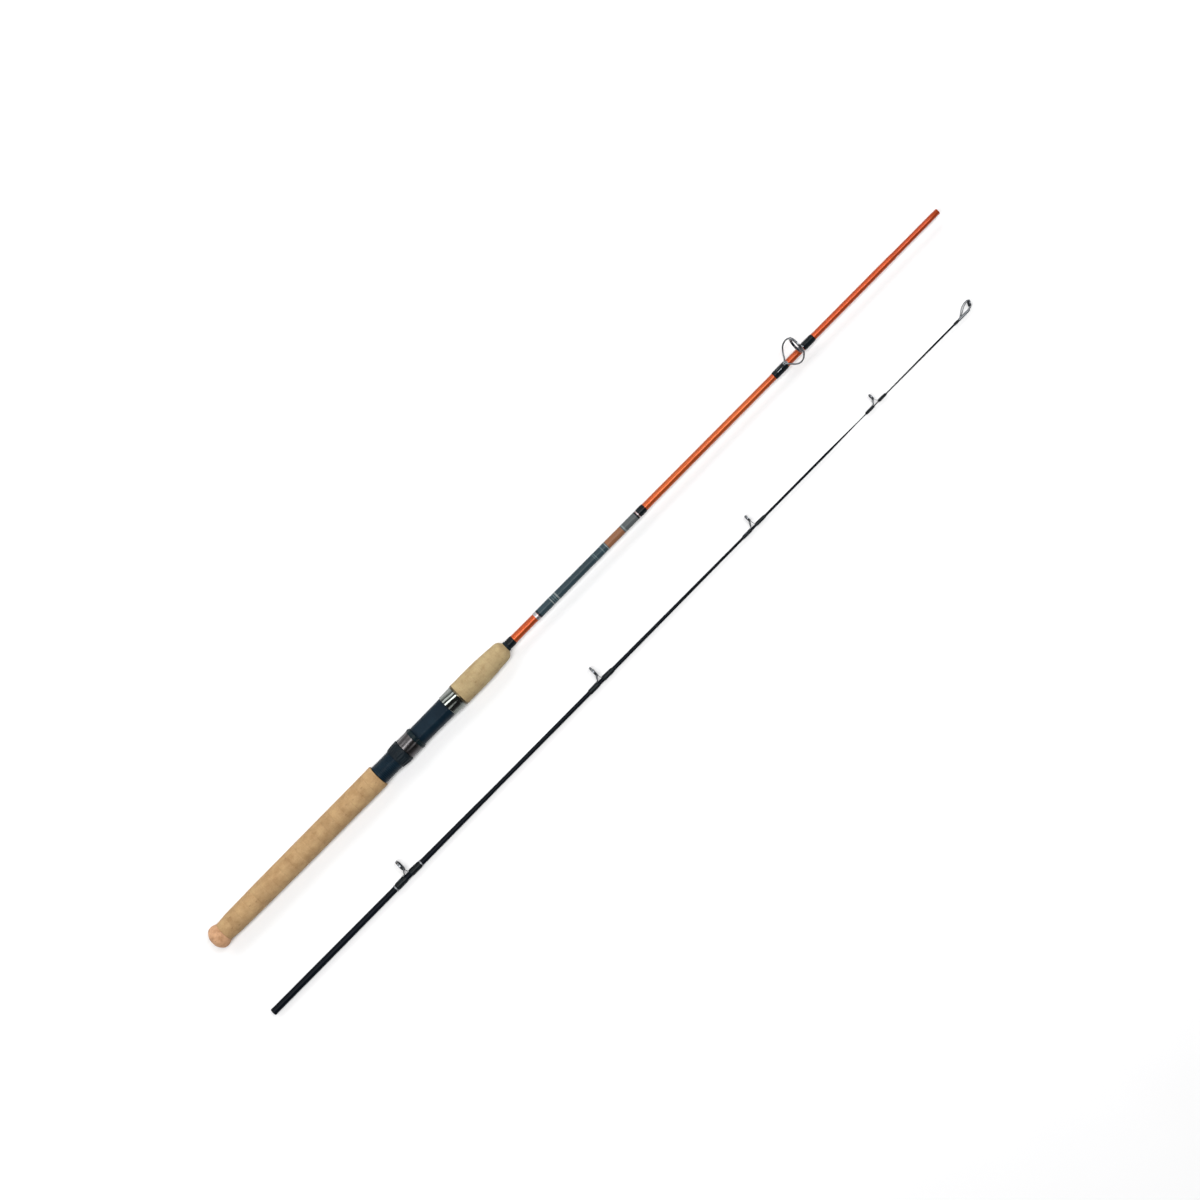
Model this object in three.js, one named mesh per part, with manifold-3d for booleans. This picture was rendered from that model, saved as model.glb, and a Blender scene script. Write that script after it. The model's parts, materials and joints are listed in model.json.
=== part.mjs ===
// Two-piece spinning rod, its butt section and tip section lying side by side.
//
// Millimetres. +X runs along both sections from butt to tip, +Z is up, and the origin is on the
// supporting surface under the centre of the whole layout. Each section is built in a frame of its
// own: x is the distance from that section's rear end along its axis, and z points to the side
// where its line guides stand. The section is then rolled to the way it lies.

import * as THREE from 'three';
import { mergeVertices } from 'three/addons/utils/BufferGeometryUtils.js';
import Module from 'manifold-3d';

// ---------------------------------------------------------------- driving dimensions

const BUTT_LENGTH = 1109;
const BUTT_REAR = new THREE.Vector3(-549.4, 42.0, 13.7);
const BUTT_ROLL_DEG = 19; // the guide side leans this far from straight up towards +Y

const TIP_REAR = new THREE.Vector3(-559.6, -57.0, 4.2);
const TIP_ROLL_DEG = 78; // the tip section lies nearly on its side, guides towards +Y

const GRIP_SEGMENTS = 20; // facets round everything coaxial on the butt section
const TIP_SEGMENTS = 16; // facets round everything coaxial on the tip section
const RING_SEGMENTS = 16; // facets round a guide ring
const WIRE_SIDES = 6; // facets round the wire of a guide frame

const GLUE_GAP = 0.25; // clearance left between two glued pieces
const FILM_GAP = 0.12; // clearance left under a wrap, a label or a ceramic ring

// Blanks: [distance from the section's rear end, radius]
const BUTT_BLANK_START = 8.3;
const BUTT_BLANK_OUTER = [
  [BUTT_BLANK_START, 5.0], [459, 4.9], [497, 4.55], [690, 4.35], [905, 3.88], [1040, 3.72],
  [1041, 3.46], [BUTT_LENGTH, 3.38],
];
const BUTT_BLANK_BORE = [[BUTT_BLANK_START, 4.1], [459, 4.0], [690, 3.4], [BUTT_LENGTH, 2.6]];

const SOCKET_LENGTH = 78; // female end of the tip section, which slides over the butt section's end
const SOCKET_OUTLINE = [[0, 4.2], [1.8, 4.15], [2.4, 3.95], [SOCKET_LENGTH, 3.85]];
const SOCKET_BORE_RADIUS = 3.56;
const TIP_BLANK_END = 1065.7;
const TIP_BLANK_OUTER = [
  [SOCKET_LENGTH + 0.2, 3.84], [180, 3.5], [290, 2.95], [345, 2.5], [480, 2.42], [560, 2.1],
  [640, 1.7], [700, 1.48], [850, 1.28], [1020, 1.04], [TIP_BLANK_END, 0.94],
];
const TIP_BLANK_BORE = [[SOCKET_LENGTH + 0.2, 3.1], [345, 1.8], [640, 0.9], [900, 0.45]];

// Grips: [distance from the rear end, radius] of the finished, sanded outline
const CAP_LENGTH = 16;
const CAP_OUTLINE = [
  [0, 6.5], [1.6, 9.2], [3.6, 11.6], [6, 13.2], [9.6, 13.7], [12.4, 13.1], [CAP_LENGTH, 11.5],
];
const REAR_GRIP_OUTLINE = [
  [CAP_LENGTH, 11.5], [20, 11.6], [29, 12.5], [75, 13.1], [134, 13.35], [223, 13.5], [253, 13.7],
];
const REAR_GRIP_SPAN = [CAP_LENGTH + GLUE_GAP, 252.6];
const REAR_GRIP_RINGS = 9;
const FORE_GRIP_OUTLINE = [
  [376.4, 13.7], [381, 13.4], [400, 13.55], [412, 13.3], [423, 12.65], [434, 11.8], [440, 11.5],
  [442.8, 10.9], [444.6, 9.7], [446.2, 7.9], [447.6, 6.2],
];
const FORE_GRIP_SPAN = [376.7, 447.6];
const FORE_GRIP_RINGS = 3;
const CORK_BORE_RADIUS = 5.3;

// Reel seat
const SEAT_SPAN = [253, 374.2];
const SEAT_RADIUS = 11.55;
const SEAT_FRONT_RADIUS = 11.9;
const SEAT_FLARE_SPAN = [323, 356]; // where the barrel widens from one radius to the other
const SEAT_BORE_RADIUS = 8.7;
const LAND_HEIGHT = 10.2; // flat reel-foot land, above the axis
const LAND_START = 286;
const LAND_CUT_TOP = 20; // anything above the barrel
const ARBOR_SPANS = [[258, 282], [302, 326], [346, 370]];
const RUNNING_BORE_RADIUS = 11.9; // nut and movable hood on the seat's barrel
const NUT_OUTLINE = [[278.3, 12.6], [282, 13.3], [287.6, 13.6], [292.4, 13.5]];
const HOOD_BAND_OUTLINE = [[292.8, 12.9], [303, 12.6], [307.7, 12.75]];
const HOOD_LIP_OUTLINE = [[308.0, 13.1], [309.8, 13.35], [312.6, 12.5]];
const FIXED_HOOD_OUTLINE = [[358.2, 12.8], [360.2, 13.0], [SEAT_SPAN[1], 13.3]];
const FIXED_HOOD_BORE_RADIUS = 12.25;
const SEAT_TRIM_SPAN = [374.45, 376.4];
const SEAT_TRIM_RADIUS = 13.7;
const POCKET_WIDTH = 13; // where a reel foot's end goes under a hood
const POCKET_TOP = 16.1;
const POCKET_WALL = 1.1;
const POCKET_BACK_WALL = 2.2;
const POCKET_FOOT = 6; // height over the axis where the pocket's sides start, inside the bore
const CROWN_SHARE = 0.75; // height of the arch's crown, as a share of half its width
const CROWN_STEPS = 8;

// Trim on the butt blank: [start, end]
const WINDING_CHECK_SPAN = [447.9, 450.0];
const GRIP_WRAP_SPAN = [450.2, 459.6];
const LABEL_TRIM_REAR_SPAN = [492.9, 496.8];
const LABEL_SPAN = [497.1, 648.4];
const LABEL_TRIM_FRONT_SPAN = [648.6, 649.8];
const TRIM_WRAP_SPAN = [650.0, 660.0];

// Thickness of what lies on a blank
const WRAP_WALL = 0.45;
const HEAVY_WRAP_WALL = 0.6;
const COLLAR_WALL = 1.05;
const BAND_WALL = 0.4;
const LABEL_WALL = 0.3;

// Line guides. x of the ring's centre, ring radius, height of the ring's centre over the axis,
// how far the ring leans towards the tip, the width of its metal band along the rod, and where the
// wraps over its two feet start and end.
const STRIPPER = {
  name: 'stripper_guide', x: 896.4, band: 1.9, radius: 10.3, wall: 0.9, height: 19.8, wire: 0.9,
  leanDeg: 7, rearWrap: [858.1, 876.9], frontWrap: [901.8, 918.2], footWidth: 3.2,
};
// Middle line of a stripper leg after its foot: [x from the ring, sideways, height over the axis]
const STRIPPER_LEG = [
  [-13.4, 9.8, 6.0], [-9.5, 13.6, 9.4], [-5.6, 14.6, 13.2], [-2.2, 13.6, 17.2], [0.6, 11.1, 20.4],
  [1.0, 9.9, 22.6],
];
const STRIPPER_LEG_START = 1.5; // sideways, on the foot's edge
const STRIPPER_FOOT_BARE = 2.6; // length of the rear foot in front of its wrap
const STRIPPER_STRUT_BEND = [1.6, -2.2]; // from the ring's lowest point, along and up
// The wraps of the tip section's guides are measured from the ring's centre
const TIP_GUIDES = [
  {
    name: 'guide_1', x: 209.5, band: 2.4, radius: 7.15, wall: 0.75, height: 14.5,
    wire: 0.6, footWidth: 2.2, rearWrap: [-19.6, -5.1], frontWrap: [1.6, 16.9],
  },
  {
    name: 'guide_2', x: 505.4, band: 2.1, radius: 6.75, wall: 0.75, height: 13.5,
    wire: 0.55, footWidth: 1.9, rearWrap: [-19.6, -5.1], frontWrap: [1.6, 16.9],
  },
  {
    name: 'guide_3', x: 740.1, band: 1.8, radius: 4.5, wall: 0.6, height: 11.8,
    wire: 0.5, footWidth: 1.6, rearWrap: [-18.4, -5.1], frontWrap: [1.6, 15.7],
  },
  {
    name: 'guide_4', x: 927.5, band: 1.6, radius: 3.9, wall: 0.5, height: 9.2,
    wire: 0.45, footWidth: 1.4, rearWrap: [-16.8, -4.6], frontWrap: [2.6, 13.9],
  },
];
const FOOT_THICKNESS = 0.8;
const FOOT_INSET = 1; // a foot ends this far inside its wrap
const LEG_JOINT_SHARE = 0.72; // where a tip guide's legs meet its ring, as a share of its radius
const LEG_BOW_SHARE = 0.75;
const LEG_BOW_X = -2.4;
const LEG_STEPS = 6;
const CERAMIC_SHARE = 0.18; // thickness of a ceramic ring, as a share of the guide's radius
const CERAMIC_PROUD = 0.8; // how much wider a ceramic ring is than the metal ring round it
const GUIDE_TRIM_WIDTH = 1.4;
const SLOT_CLEARANCE = 1.05; // facets of a wrap start this much past its foot slot
const RIDGE_STEEPNESS = 4; // how fast a wrap falls away from the foot under it

const TIP_TOP = {
  name: 'tip_top', tubeSpan: [1053.3, 1070.1], tubeRadius: 1.6, boreRadius: 1.1, x: 1074.1,
  radius: 4.5, wall: 0.6, height: 4.9, leanDeg: 32, wire: 0.5, band: 1.6,
};
// Middle line of a tip-top brace: [x from the tube's rear end, sideways, height over the axis]
const TIP_TOP_BRACE = [
  [3.4, 1.1, 1.2], [8.4, 2.7, 4.4], [13.4, 3.1, 7.6], [18.4, 2.7, 8.7], [22.6, 1.9, 8.4],
];
const TIP_TOP_SADDLE = { back: 1.5, short: 1.3, half: 0.9, low: -0.6, high: 1.9 };
const TIP_TOP_WRAP_SPAN = [1046.3, 1053.1];

// ---------------------------------------------------------------- materials

const finishes = {
  cork: { color: 0xc9a77a, roughness: 0.85, metalness: 0 },
  capCork: { color: 0xd0925c, roughness: 0.8, metalness: 0 },
  arborCork: { color: 0x9c7a52, roughness: 0.9, metalness: 0 },
  graphite: { color: 0x1c2830, roughness: 0.35, metalness: 0 },
  softBlack: { color: 0x141a1f, roughness: 0.55, metalness: 0 },
  stainless: { color: 0x9a9490, roughness: 0.3, metalness: 1 },
  chrome: { color: 0xc8ccd0, roughness: 0.12, metalness: 1 },
  goldTrim: { color: 0x8a7a4a, roughness: 0.35, metalness: 1 },
  orangeBlank: { color: 0xd9501e, roughness: 0.2, metalness: 0 },
  darkBlank: { color: 0x161c26, roughness: 0.25, metalness: 0 },
  label: { color: 0x2c3c44, roughness: 0.25, metalness: 0 },
  silverTrim: { color: 0xc4c8c8, roughness: 0.3, metalness: 1 },
  thread: { color: 0x0e1216, roughness: 0.2, metalness: 0 },
  guideMetal: { color: 0x6c727a, roughness: 0.3, metalness: 1 },
  ceramic: { color: 0x22262c, roughness: 0.15, metalness: 0 },
};

function finish(name) {
  return new THREE.MeshStandardMaterial({ name, ...finishes[name] });
}

// ---------------------------------------------------------------- solids

const wasm = await Module();
wasm.setup();

/** Positions and faces only, with shared vertices merged and every face pointing outward. */
function closedBody(source) {
  const bare = new THREE.BufferGeometry();
  bare.setAttribute('position', source.getAttribute('position').clone());
  if (source.getIndex()) bare.setIndex(source.getIndex().clone());
  const merged = mergeVertices(bare, 1e-4);
  const positions = merged.getAttribute('position');
  const indices = merged.getIndex().array;
  const corner = [new THREE.Vector3(), new THREE.Vector3(), new THREE.Vector3()];
  const faces = [];
  let volume = 0;
  for (let i = 0; i < indices.length; i += 3) {
    const face = [indices[i], indices[i + 1], indices[i + 2]];
    if (face[0] === face[1] || face[1] === face[2] || face[2] === face[0]) continue;
    face.forEach((vertex, k) => corner[k].fromBufferAttribute(positions, vertex));
    volume += corner[0].dot(corner[1].clone().cross(corner[2])) / 6;
    faces.push(face);
  }
  const outward = volume > 0 ? faces : faces.map(([a, b, c]) => [a, c, b]);
  merged.setIndex(outward.flat());
  return merged;
}

function toSolid(geometry) {
  const body = closedBody(geometry);
  return new wasm.Manifold(new wasm.Mesh({
    numProp: 3,
    vertProperties: new Float32Array(body.getAttribute('position').array),
    triVerts: new Uint32Array(body.getIndex().array),
  }));
}

function toGeometry(solid) {
  const mesh = solid.getMesh();
  const geometry = new THREE.BufferGeometry();
  geometry.setAttribute('position', new THREE.BufferAttribute(mesh.vertProperties, 3));
  geometry.setIndex(new THREE.BufferAttribute(mesh.triVerts, 1));
  return geometry;
}

const joined = (geometries) => geometries.map(toSolid).reduce((whole, piece) => whole.add(piece));

/** Lathe about the X axis: outline points are [x, radius]. */
function turned(outline, segments) {
  const points = outline.map(([x, radius]) => new THREE.Vector2(radius, x));
  return closedBody(new THREE.LatheGeometry(points, segments).rotateZ(-Math.PI / 2));
}

/** Turned body with an open bore. Both outlines run from the rear to the front. */
function turnedTube(outer, bore, segments) {
  return turned([...outer, ...[...bore].reverse(), outer[0]], segments);
}

function sleeve([start, end], outerRadius, boreRadius, segments) {
  const outer = [[start, outerRadius], [end, outerRadius]];
  const bore = [[start, boreRadius], [end, boreRadius]];
  return turnedTube(outer, bore, segments);
}

function box([x0, x1], [y0, y1], [z0, z1]) {
  const geometry = new THREE.BoxGeometry(x1 - x0, y1 - y0, z1 - z0);
  return geometry.translate((x0 + x1) / 2, (y0 + y1) / 2, (z0 + z1) / 2);
}

/** A section drawn in the (y, z) plane, pushed along X from start to end. */
function pushedAlongX(shape, [start, end]) {
  const geometry = new THREE.ExtrudeGeometry(shape, { depth: end - start, bevelEnabled: false });
  const axes = new THREE.Matrix4().makeBasis(
    new THREE.Vector3(0, 1, 0), new THREE.Vector3(0, 0, 1), new THREE.Vector3(1, 0, 0));
  return geometry.applyMatrix4(axes).translate(start, 0, 0);
}

/** Round wire along a smooth curve through the given points. */
function wire(points, radius, steps) {
  const angles = Array.from({ length: WIRE_SIDES }, (_, i) => (2 * Math.PI * i) / WIRE_SIDES);
  const section = new THREE.Shape(angles.map((angle) => new THREE.Vector2(
    radius * Math.cos(angle), radius * Math.sin(angle))));
  const path = new THREE.CatmullRomCurve3(points.map((p) => new THREE.Vector3(...p)));
  return new THREE.ExtrudeGeometry(section, { steps, extrudePath: path, bevelEnabled: false });
}

/** Flat strip of metal whose middle line [x, z] is drawn from the side. */
function strap(line, thickness, width) {
  const middle = line.map(([x, z]) => new THREE.Vector2(x, z));
  const sideways = middle.map((point, i) => {
    const before = middle[Math.max(i - 1, 0)];
    const after = middle[Math.min(i + 1, middle.length - 1)];
    const along = after.clone().sub(before).normalize();
    return new THREE.Vector2(-along.y, along.x).multiplyScalar(thickness / 2);
  });
  const upper = middle.map((point, i) => point.clone().add(sideways[i]));
  const lower = middle.map((point, i) => point.clone().sub(sideways[i])).reverse();
  const shape = new THREE.Shape([...upper, ...lower]);
  const geometry = new THREE.ExtrudeGeometry(shape, { depth: width, bevelEnabled: false });
  return geometry.rotateX(Math.PI / 2).translate(0, width / 2, 0);
}

/** Radius of an outline at x, by straight lines between its points. */
function radiusAt(outline, x) {
  const next = outline.findIndex(([station]) => station >= x);
  if (next <= 0) return outline[next === 0 ? 0 : outline.length - 1][1];
  const [[x0, r0], [x1, r1]] = [outline[next - 1], outline[next]];
  return r0 + ((r1 - r0) * (x - x0)) / (x1 - x0);
}

/** The part of an outline between two stations, with its end points worked out. */
function outlineBetween(outline, [start, end]) {
  const inside = outline.filter(([x]) => x > start + 0.5 && x < end - 0.5);
  return [[start, radiusAt(outline, start)], ...inside, [end, radiusAt(outline, end)]];
}

function piece(name, geometry, finishName) {
  const mesh = new THREE.Mesh(closedBody(geometry), finish(finishName));
  mesh.name = name;
  return mesh;
}

// ---------------------------------------------------------------- grips and reel seat

function gripRings(prefix, span, count, outline) {
  const step = (span[1] - span[0] + GLUE_GAP) / count;
  return Array.from({ length: count }, (_, i) => {
    const start = span[0] + i * step;
    const reach = [start, start + step - GLUE_GAP];
    const bore = reach.map((x) => [x, CORK_BORE_RADIUS]);
    return piece(`${prefix}_${i + 1}`,
      turnedTube(outlineBetween(outline, reach), bore, GRIP_SEGMENTS), 'cork');
  });
}

function buttCap() {
  const socketEnd = BUTT_BLANK_START - GLUE_GAP;
  const outline = [
    [0, 0], ...CAP_OUTLINE, [CAP_LENGTH, CORK_BORE_RADIUS], [socketEnd, CORK_BORE_RADIUS],
    [socketEnd, 0],
  ];
  return piece('butt_cap', turned(outline, GRIP_SEGMENTS), 'capCork');
}

function reelSeatBody() {
  const [start, end] = SEAT_SPAN;
  const outer = [
    [start, SEAT_RADIUS], [SEAT_FLARE_SPAN[0], SEAT_RADIUS], [SEAT_FLARE_SPAN[1], SEAT_FRONT_RADIUS],
    [end, SEAT_FRONT_RADIUS],
  ];
  const bore = [[start, SEAT_BORE_RADIUS], [end, SEAT_BORE_RADIUS]];
  const side = SEAT_FRONT_RADIUS + 1;
  const overLand = box([LAND_START, end + 1], [-side, side], [LAND_HEIGHT, LAND_CUT_TOP]);
  const body = toSolid(turnedTube(outer, bore, GRIP_SEGMENTS)).subtract(toSolid(overLand));
  return piece('reel_seat_body', toGeometry(body), 'graphite');
}

/** Arch over the reel-foot pocket: upright sides and a round crown, in the (y, z) plane. */
function archShape(halfWidth, top) {
  const shoulder = top - halfWidth * CROWN_SHARE;
  const shape = new THREE.Shape();
  shape.moveTo(-halfWidth, POCKET_FOOT);
  shape.lineTo(halfWidth, POCKET_FOOT);
  shape.lineTo(halfWidth, shoulder);
  for (let step = 1; step < CROWN_STEPS; step += 1) {
    const angle = (Math.PI * step) / CROWN_STEPS;
    shape.lineTo(halfWidth * Math.cos(angle), shoulder + (top - shoulder) * Math.sin(angle));
  }
  shape.lineTo(-halfWidth, shoulder);
  return shape;
}

/** Hood round the seat with an arched pocket that opens at its mouth. */
function hood(outline, boreRadius, pocketSpan) {
  const [start, end] = [outline[0][0], outline[outline.length - 1][0]];
  const ring = turned([[start, 0], ...outline, [end, 0]], GRIP_SEGMENTS);
  const half = POCKET_WIDTH / 2;
  const arch = pushedAlongX(archShape(half + POCKET_WALL, POCKET_TOP + POCKET_WALL), [start, end]);
  const pocket = pushedAlongX(archShape(half, POCKET_TOP), pocketSpan);
  const past = [start - 1, end + 1];
  const core = [[past[0], 0], [past[0], boreRadius], [past[1], boreRadius], [past[1], 0]];
  const bore = turned(core, GRIP_SEGMENTS);
  return toGeometry(joined([ring, arch]).subtract(toSolid(pocket)).subtract(toSolid(bore)));
}

function reelSeat() {
  const bandStart = HOOD_BAND_OUTLINE[0][0];
  const lipEnd = HOOD_LIP_OUTLINE[HOOD_LIP_OUTLINE.length - 1][0];
  const fixedStart = FIXED_HOOD_OUTLINE[0][0];
  const fixedEnd = SEAT_SPAN[1];
  const nutSpan = [NUT_OUTLINE[0][0], NUT_OUTLINE[NUT_OUTLINE.length - 1][0]];
  const nutBore = nutSpan.map((x) => [x, RUNNING_BORE_RADIUS]);
  const arborRadius = SEAT_BORE_RADIUS - FILM_GAP;
  return [
    reelSeatBody(),
    ...ARBOR_SPANS.map((span, i) => piece(`seat_arbor_${i + 1}`,
      sleeve(span, arborRadius, CORK_BORE_RADIUS, GRIP_SEGMENTS), 'arborCork')),
    piece('fixed_hood', hood(FIXED_HOOD_OUTLINE, FIXED_HOOD_BORE_RADIUS,
      [fixedStart - 1, fixedEnd - POCKET_BACK_WALL]), 'chrome'),
    piece('seat_trim_ring',
      sleeve(SEAT_TRIM_SPAN, SEAT_TRIM_RADIUS, CORK_BORE_RADIUS, GRIP_SEGMENTS), 'goldTrim'),
    piece('movable_hood_band', hood(HOOD_BAND_OUTLINE, RUNNING_BORE_RADIUS,
      [bandStart + POCKET_BACK_WALL, lipEnd]), 'stainless'),
    piece('movable_hood_lip', hood(HOOD_LIP_OUTLINE, RUNNING_BORE_RADIUS,
      [bandStart, lipEnd + 1]), 'softBlack'),
    piece('hood_nut', turnedTube(NUT_OUTLINE, nutBore, GRIP_SEGMENTS), 'softBlack'),
  ];
}

// ---------------------------------------------------------------- blank trim and wraps

/** Film, band or wrap that follows the tapered blank under it. */
function blankSleeve(name, span, blank, wall, segments, finishName) {
  const under = outlineBetween(blank, span).map(([x, radius]) => [x, radius + FILM_GAP]);
  const outer = under.map(([x, radius]) => [x, radius + wall]);
  return piece(name, turnedTube(outer, under, segments), finishName);
}

/** Thread wrap over a guide foot: round, with a ridge over the foot and a slot that holds it. */
function footWrap(name, span, blankRadius, footWidth, segments) {
  const bore = blankRadius + FILM_GAP;
  const slotTop = bore + FOOT_THICKNESS + FILM_GAP;
  const slotHalf = footWidth / 2 + FILM_GAP;
  const turn = Array.from({ length: segments }, (_, i) => (2 * Math.PI * i) / segments);
  const clearOfSlot = turn.filter((angle) => (
    Math.cos(angle) < 0 || Math.abs(Math.sin(angle)) * bore > slotHalf * SLOT_CLEARANCE));
  const onRim = (angle, radius) => new THREE.Vector2(
    -radius * Math.sin(angle), radius * Math.cos(angle));
  const ridgeOver = (angle) => FOOT_THICKNESS * Math.max(0, Math.cos(angle)) ** RIDGE_STEEPNESS;
  const outer = [
    new THREE.Vector2(-slotHalf, slotTop + WRAP_WALL),
    ...clearOfSlot.map((angle) => onRim(angle, bore + WRAP_WALL + ridgeOver(angle))),
    new THREE.Vector2(slotHalf, slotTop + WRAP_WALL),
  ];
  const slotFoot = Math.sqrt(bore ** 2 - slotHalf ** 2);
  const inner = [
    new THREE.Vector2(-slotHalf, slotTop), new THREE.Vector2(-slotHalf, slotFoot),
    ...clearOfSlot.map((angle) => onRim(angle, bore)),
    new THREE.Vector2(slotHalf, slotFoot), new THREE.Vector2(slotHalf, slotTop),
  ];
  const shape = new THREE.Shape(outer);
  shape.holes.push(new THREE.Path(inner));
  return piece(name, pushedAlongX(shape, span), 'thread');
}

function footWraps(guide, rear, front, blank, segments) {
  return [['rear', rear], ['front', front]].map(([end, span]) => footWrap(
    `${guide.name}_${end}_wrap`, span, radiusAt(blank, span[0]), guide.footWidth, segments));
}

// ---------------------------------------------------------------- guides

/** Guide ring standing on the axis frame at x, leaning towards the tip. */
function standing(geometry, { x, height, leanDeg = 0 }) {
  return geometry.rotateY(THREE.MathUtils.degToRad(leanDeg)).translate(x, 0, height);
}

function frameRing(guide) {
  const half = guide.band / 2;
  const rim = sleeve([-half, half], guide.radius, guide.radius - guide.wall, RING_SEGMENTS);
  return standing(rim, guide);
}

function ceramicRing(guide) {
  const outside = guide.radius - guide.wall - FILM_GAP;
  const inside = outside - guide.radius * CERAMIC_SHARE;
  const width = guide.band + CERAMIC_PROUD;
  const [half, seat, throat] = [width / 2, width * 0.35, width * 0.2];
  const edge = outside - 0.3;
  const outline = [
    [-seat, outside], [seat, outside], [half, edge], [throat, inside], [-throat, inside],
    [-half, edge], [-seat, outside],
  ];
  return piece(`${guide.name}_ceramic`, standing(turned(outline, RING_SEGMENTS), guide), 'ceramic');
}

function footHeight(blankRadius) {
  return blankRadius + FILM_GAP + FOOT_THICKNESS / 2;
}

/** Wide wire-loop guide that gathers the coils coming off the reel. */
function stripperGuide(guide, blank) {
  const [rear, front] = [guide.rearWrap, guide.frontWrap];
  const rearZ = footHeight(radiusAt(blank, rear[0]));
  const frontZ = footHeight(radiusAt(blank, front[0]));
  const ringLow = guide.height - guide.radius;
  const legStart = radiusAt(blank, rear[1]) + FILM_GAP + guide.wire;
  const legs = [-1, 1].map((side) => wire([
    [rear[1] + 1.4 * guide.wire, side * STRIPPER_LEG_START, legStart],
    ...STRIPPER_LEG.map(([x, y, z]) => [guide.x + x, side * y, z]),
  ], guide.wire, LEG_STEPS * 2));
  const rearFoot = strap(
    [[rear[0] + FOOT_INSET, rearZ], [rear[1] + STRIPPER_FOOT_BARE, rearZ]],
    FOOT_THICKNESS, guide.footWidth);
  const [bendX, bendZ] = STRIPPER_STRUT_BEND;
  const frontFoot = strap([
    [guide.x - 1.3, ringLow + 0.4], [guide.x + bendX, ringLow + bendZ], [front[0] - 0.6, frontZ],
    [front[1] - FOOT_INSET, frontZ],
  ], FOOT_THICKNESS, guide.footWidth);
  const frame = toGeometry(joined([frameRing(guide), ...legs, rearFoot, frontFoot]));
  return [
    piece(`${guide.name}_frame`, frame, 'guideMetal'),
    ceramicRing(guide),
    ...footWraps(guide, rear, front, blank, GRIP_SEGMENTS),
  ];
}

/** Small two-footed guide of the tip section. */
function tipGuide(guide, blank) {
  const rear = guide.rearWrap.map((offset) => guide.x + offset);
  const front = guide.frontWrap.map((offset) => guide.x + offset);
  const rearZ = footHeight(radiusAt(blank, rear[0]));
  const frontZ = footHeight(radiusAt(blank, front[0]));
  const joint = guide.radius * LEG_JOINT_SHARE;
  const ringLow = guide.height - guide.radius;
  const legStart = radiusAt(blank, rear[1]) + FILM_GAP + guide.wire;
  const legs = [-1, 1].map((side) => wire([
    [rear[1] + 0.4, side * 0.4, legStart],
    [guide.x + LEG_BOW_X, side * joint * LEG_BOW_SHARE, (legStart + guide.height - joint) / 2],
    [guide.x, side * joint, guide.height - joint],
  ], guide.wire, LEG_STEPS));
  const rearFoot = strap(
    [[rear[0] + FOOT_INSET, rearZ], [rear[1] + 1.2, rearZ]], FOOT_THICKNESS, guide.footWidth);
  const frontFoot = strap([
    [guide.x, ringLow + 0.3], [guide.x + 0.4, ringLow - 0.5], [front[0] - 0.4, frontZ],
    [front[1] - FOOT_INSET, frontZ],
  ], FOOT_THICKNESS, guide.footWidth);
  const frame = toGeometry(joined([frameRing(guide), ...legs, rearFoot, frontFoot]));
  return [
    piece(`${guide.name}_frame`, frame, 'guideMetal'),
    ceramicRing(guide),
    ...footWraps(guide, rear, front, blank, TIP_SEGMENTS),
  ];
}

/** Thin bright rings at the outer ends of a guide's two wraps. */
function guideTrims(guide, blank) {
  const rearEnd = guide.x + guide.rearWrap[0] - 0.2;
  const frontStart = guide.x + guide.frontWrap[1] + 0.2;
  return [
    blankSleeve(`${guide.name}_trim_rear`, [rearEnd - GUIDE_TRIM_WIDTH, rearEnd], blank,
      WRAP_WALL, TIP_SEGMENTS, 'silverTrim'),
    blankSleeve(`${guide.name}_trim_front`, [frontStart, frontStart + GUIDE_TRIM_WIDTH], blank,
      WRAP_WALL, TIP_SEGMENTS, 'silverTrim'),
  ];
}

/** Tube over the blank's end, its ring and the two braces that hold the ring. */
function tipTop(top) {
  const [start, end] = top.tubeSpan;
  const boreEnd = TIP_BLANK_END + GLUE_GAP;
  const tube = turned([
    [end, 0], [end, top.tubeRadius * 0.7], [end - 1, top.tubeRadius], [start, top.tubeRadius],
    [start, top.boreRadius], [boreEnd, top.boreRadius], [boreEnd, 0],
  ], TIP_SEGMENTS);
  const braces = [-1, 1].map((side) => wire(
    TIP_TOP_BRACE.map(([x, y, z]) => [start + x, side * y, z]), top.wire, LEG_STEPS + 2));
  const { back, short, half, low, high } = TIP_TOP_SADDLE;
  const saddle = box([end - back, top.x - short], [-half, half], [low, high]);
  const frame = joined([tube, frameRing(top), ...braces, saddle]);
  const mouth = top.radius - top.wall;
  const reach = top.band + CERAMIC_PROUD;
  const clearRing = toSolid(standing(turned([
    [-reach, 0], [-reach, mouth], [reach, mouth], [reach, 0],
  ], RING_SEGMENTS), top));
  return [
    piece('tip_top_frame', toGeometry(frame.subtract(clearRing)), 'guideMetal'),
    ceramicRing(top),
  ];
}

// ---------------------------------------------------------------- sections

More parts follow.
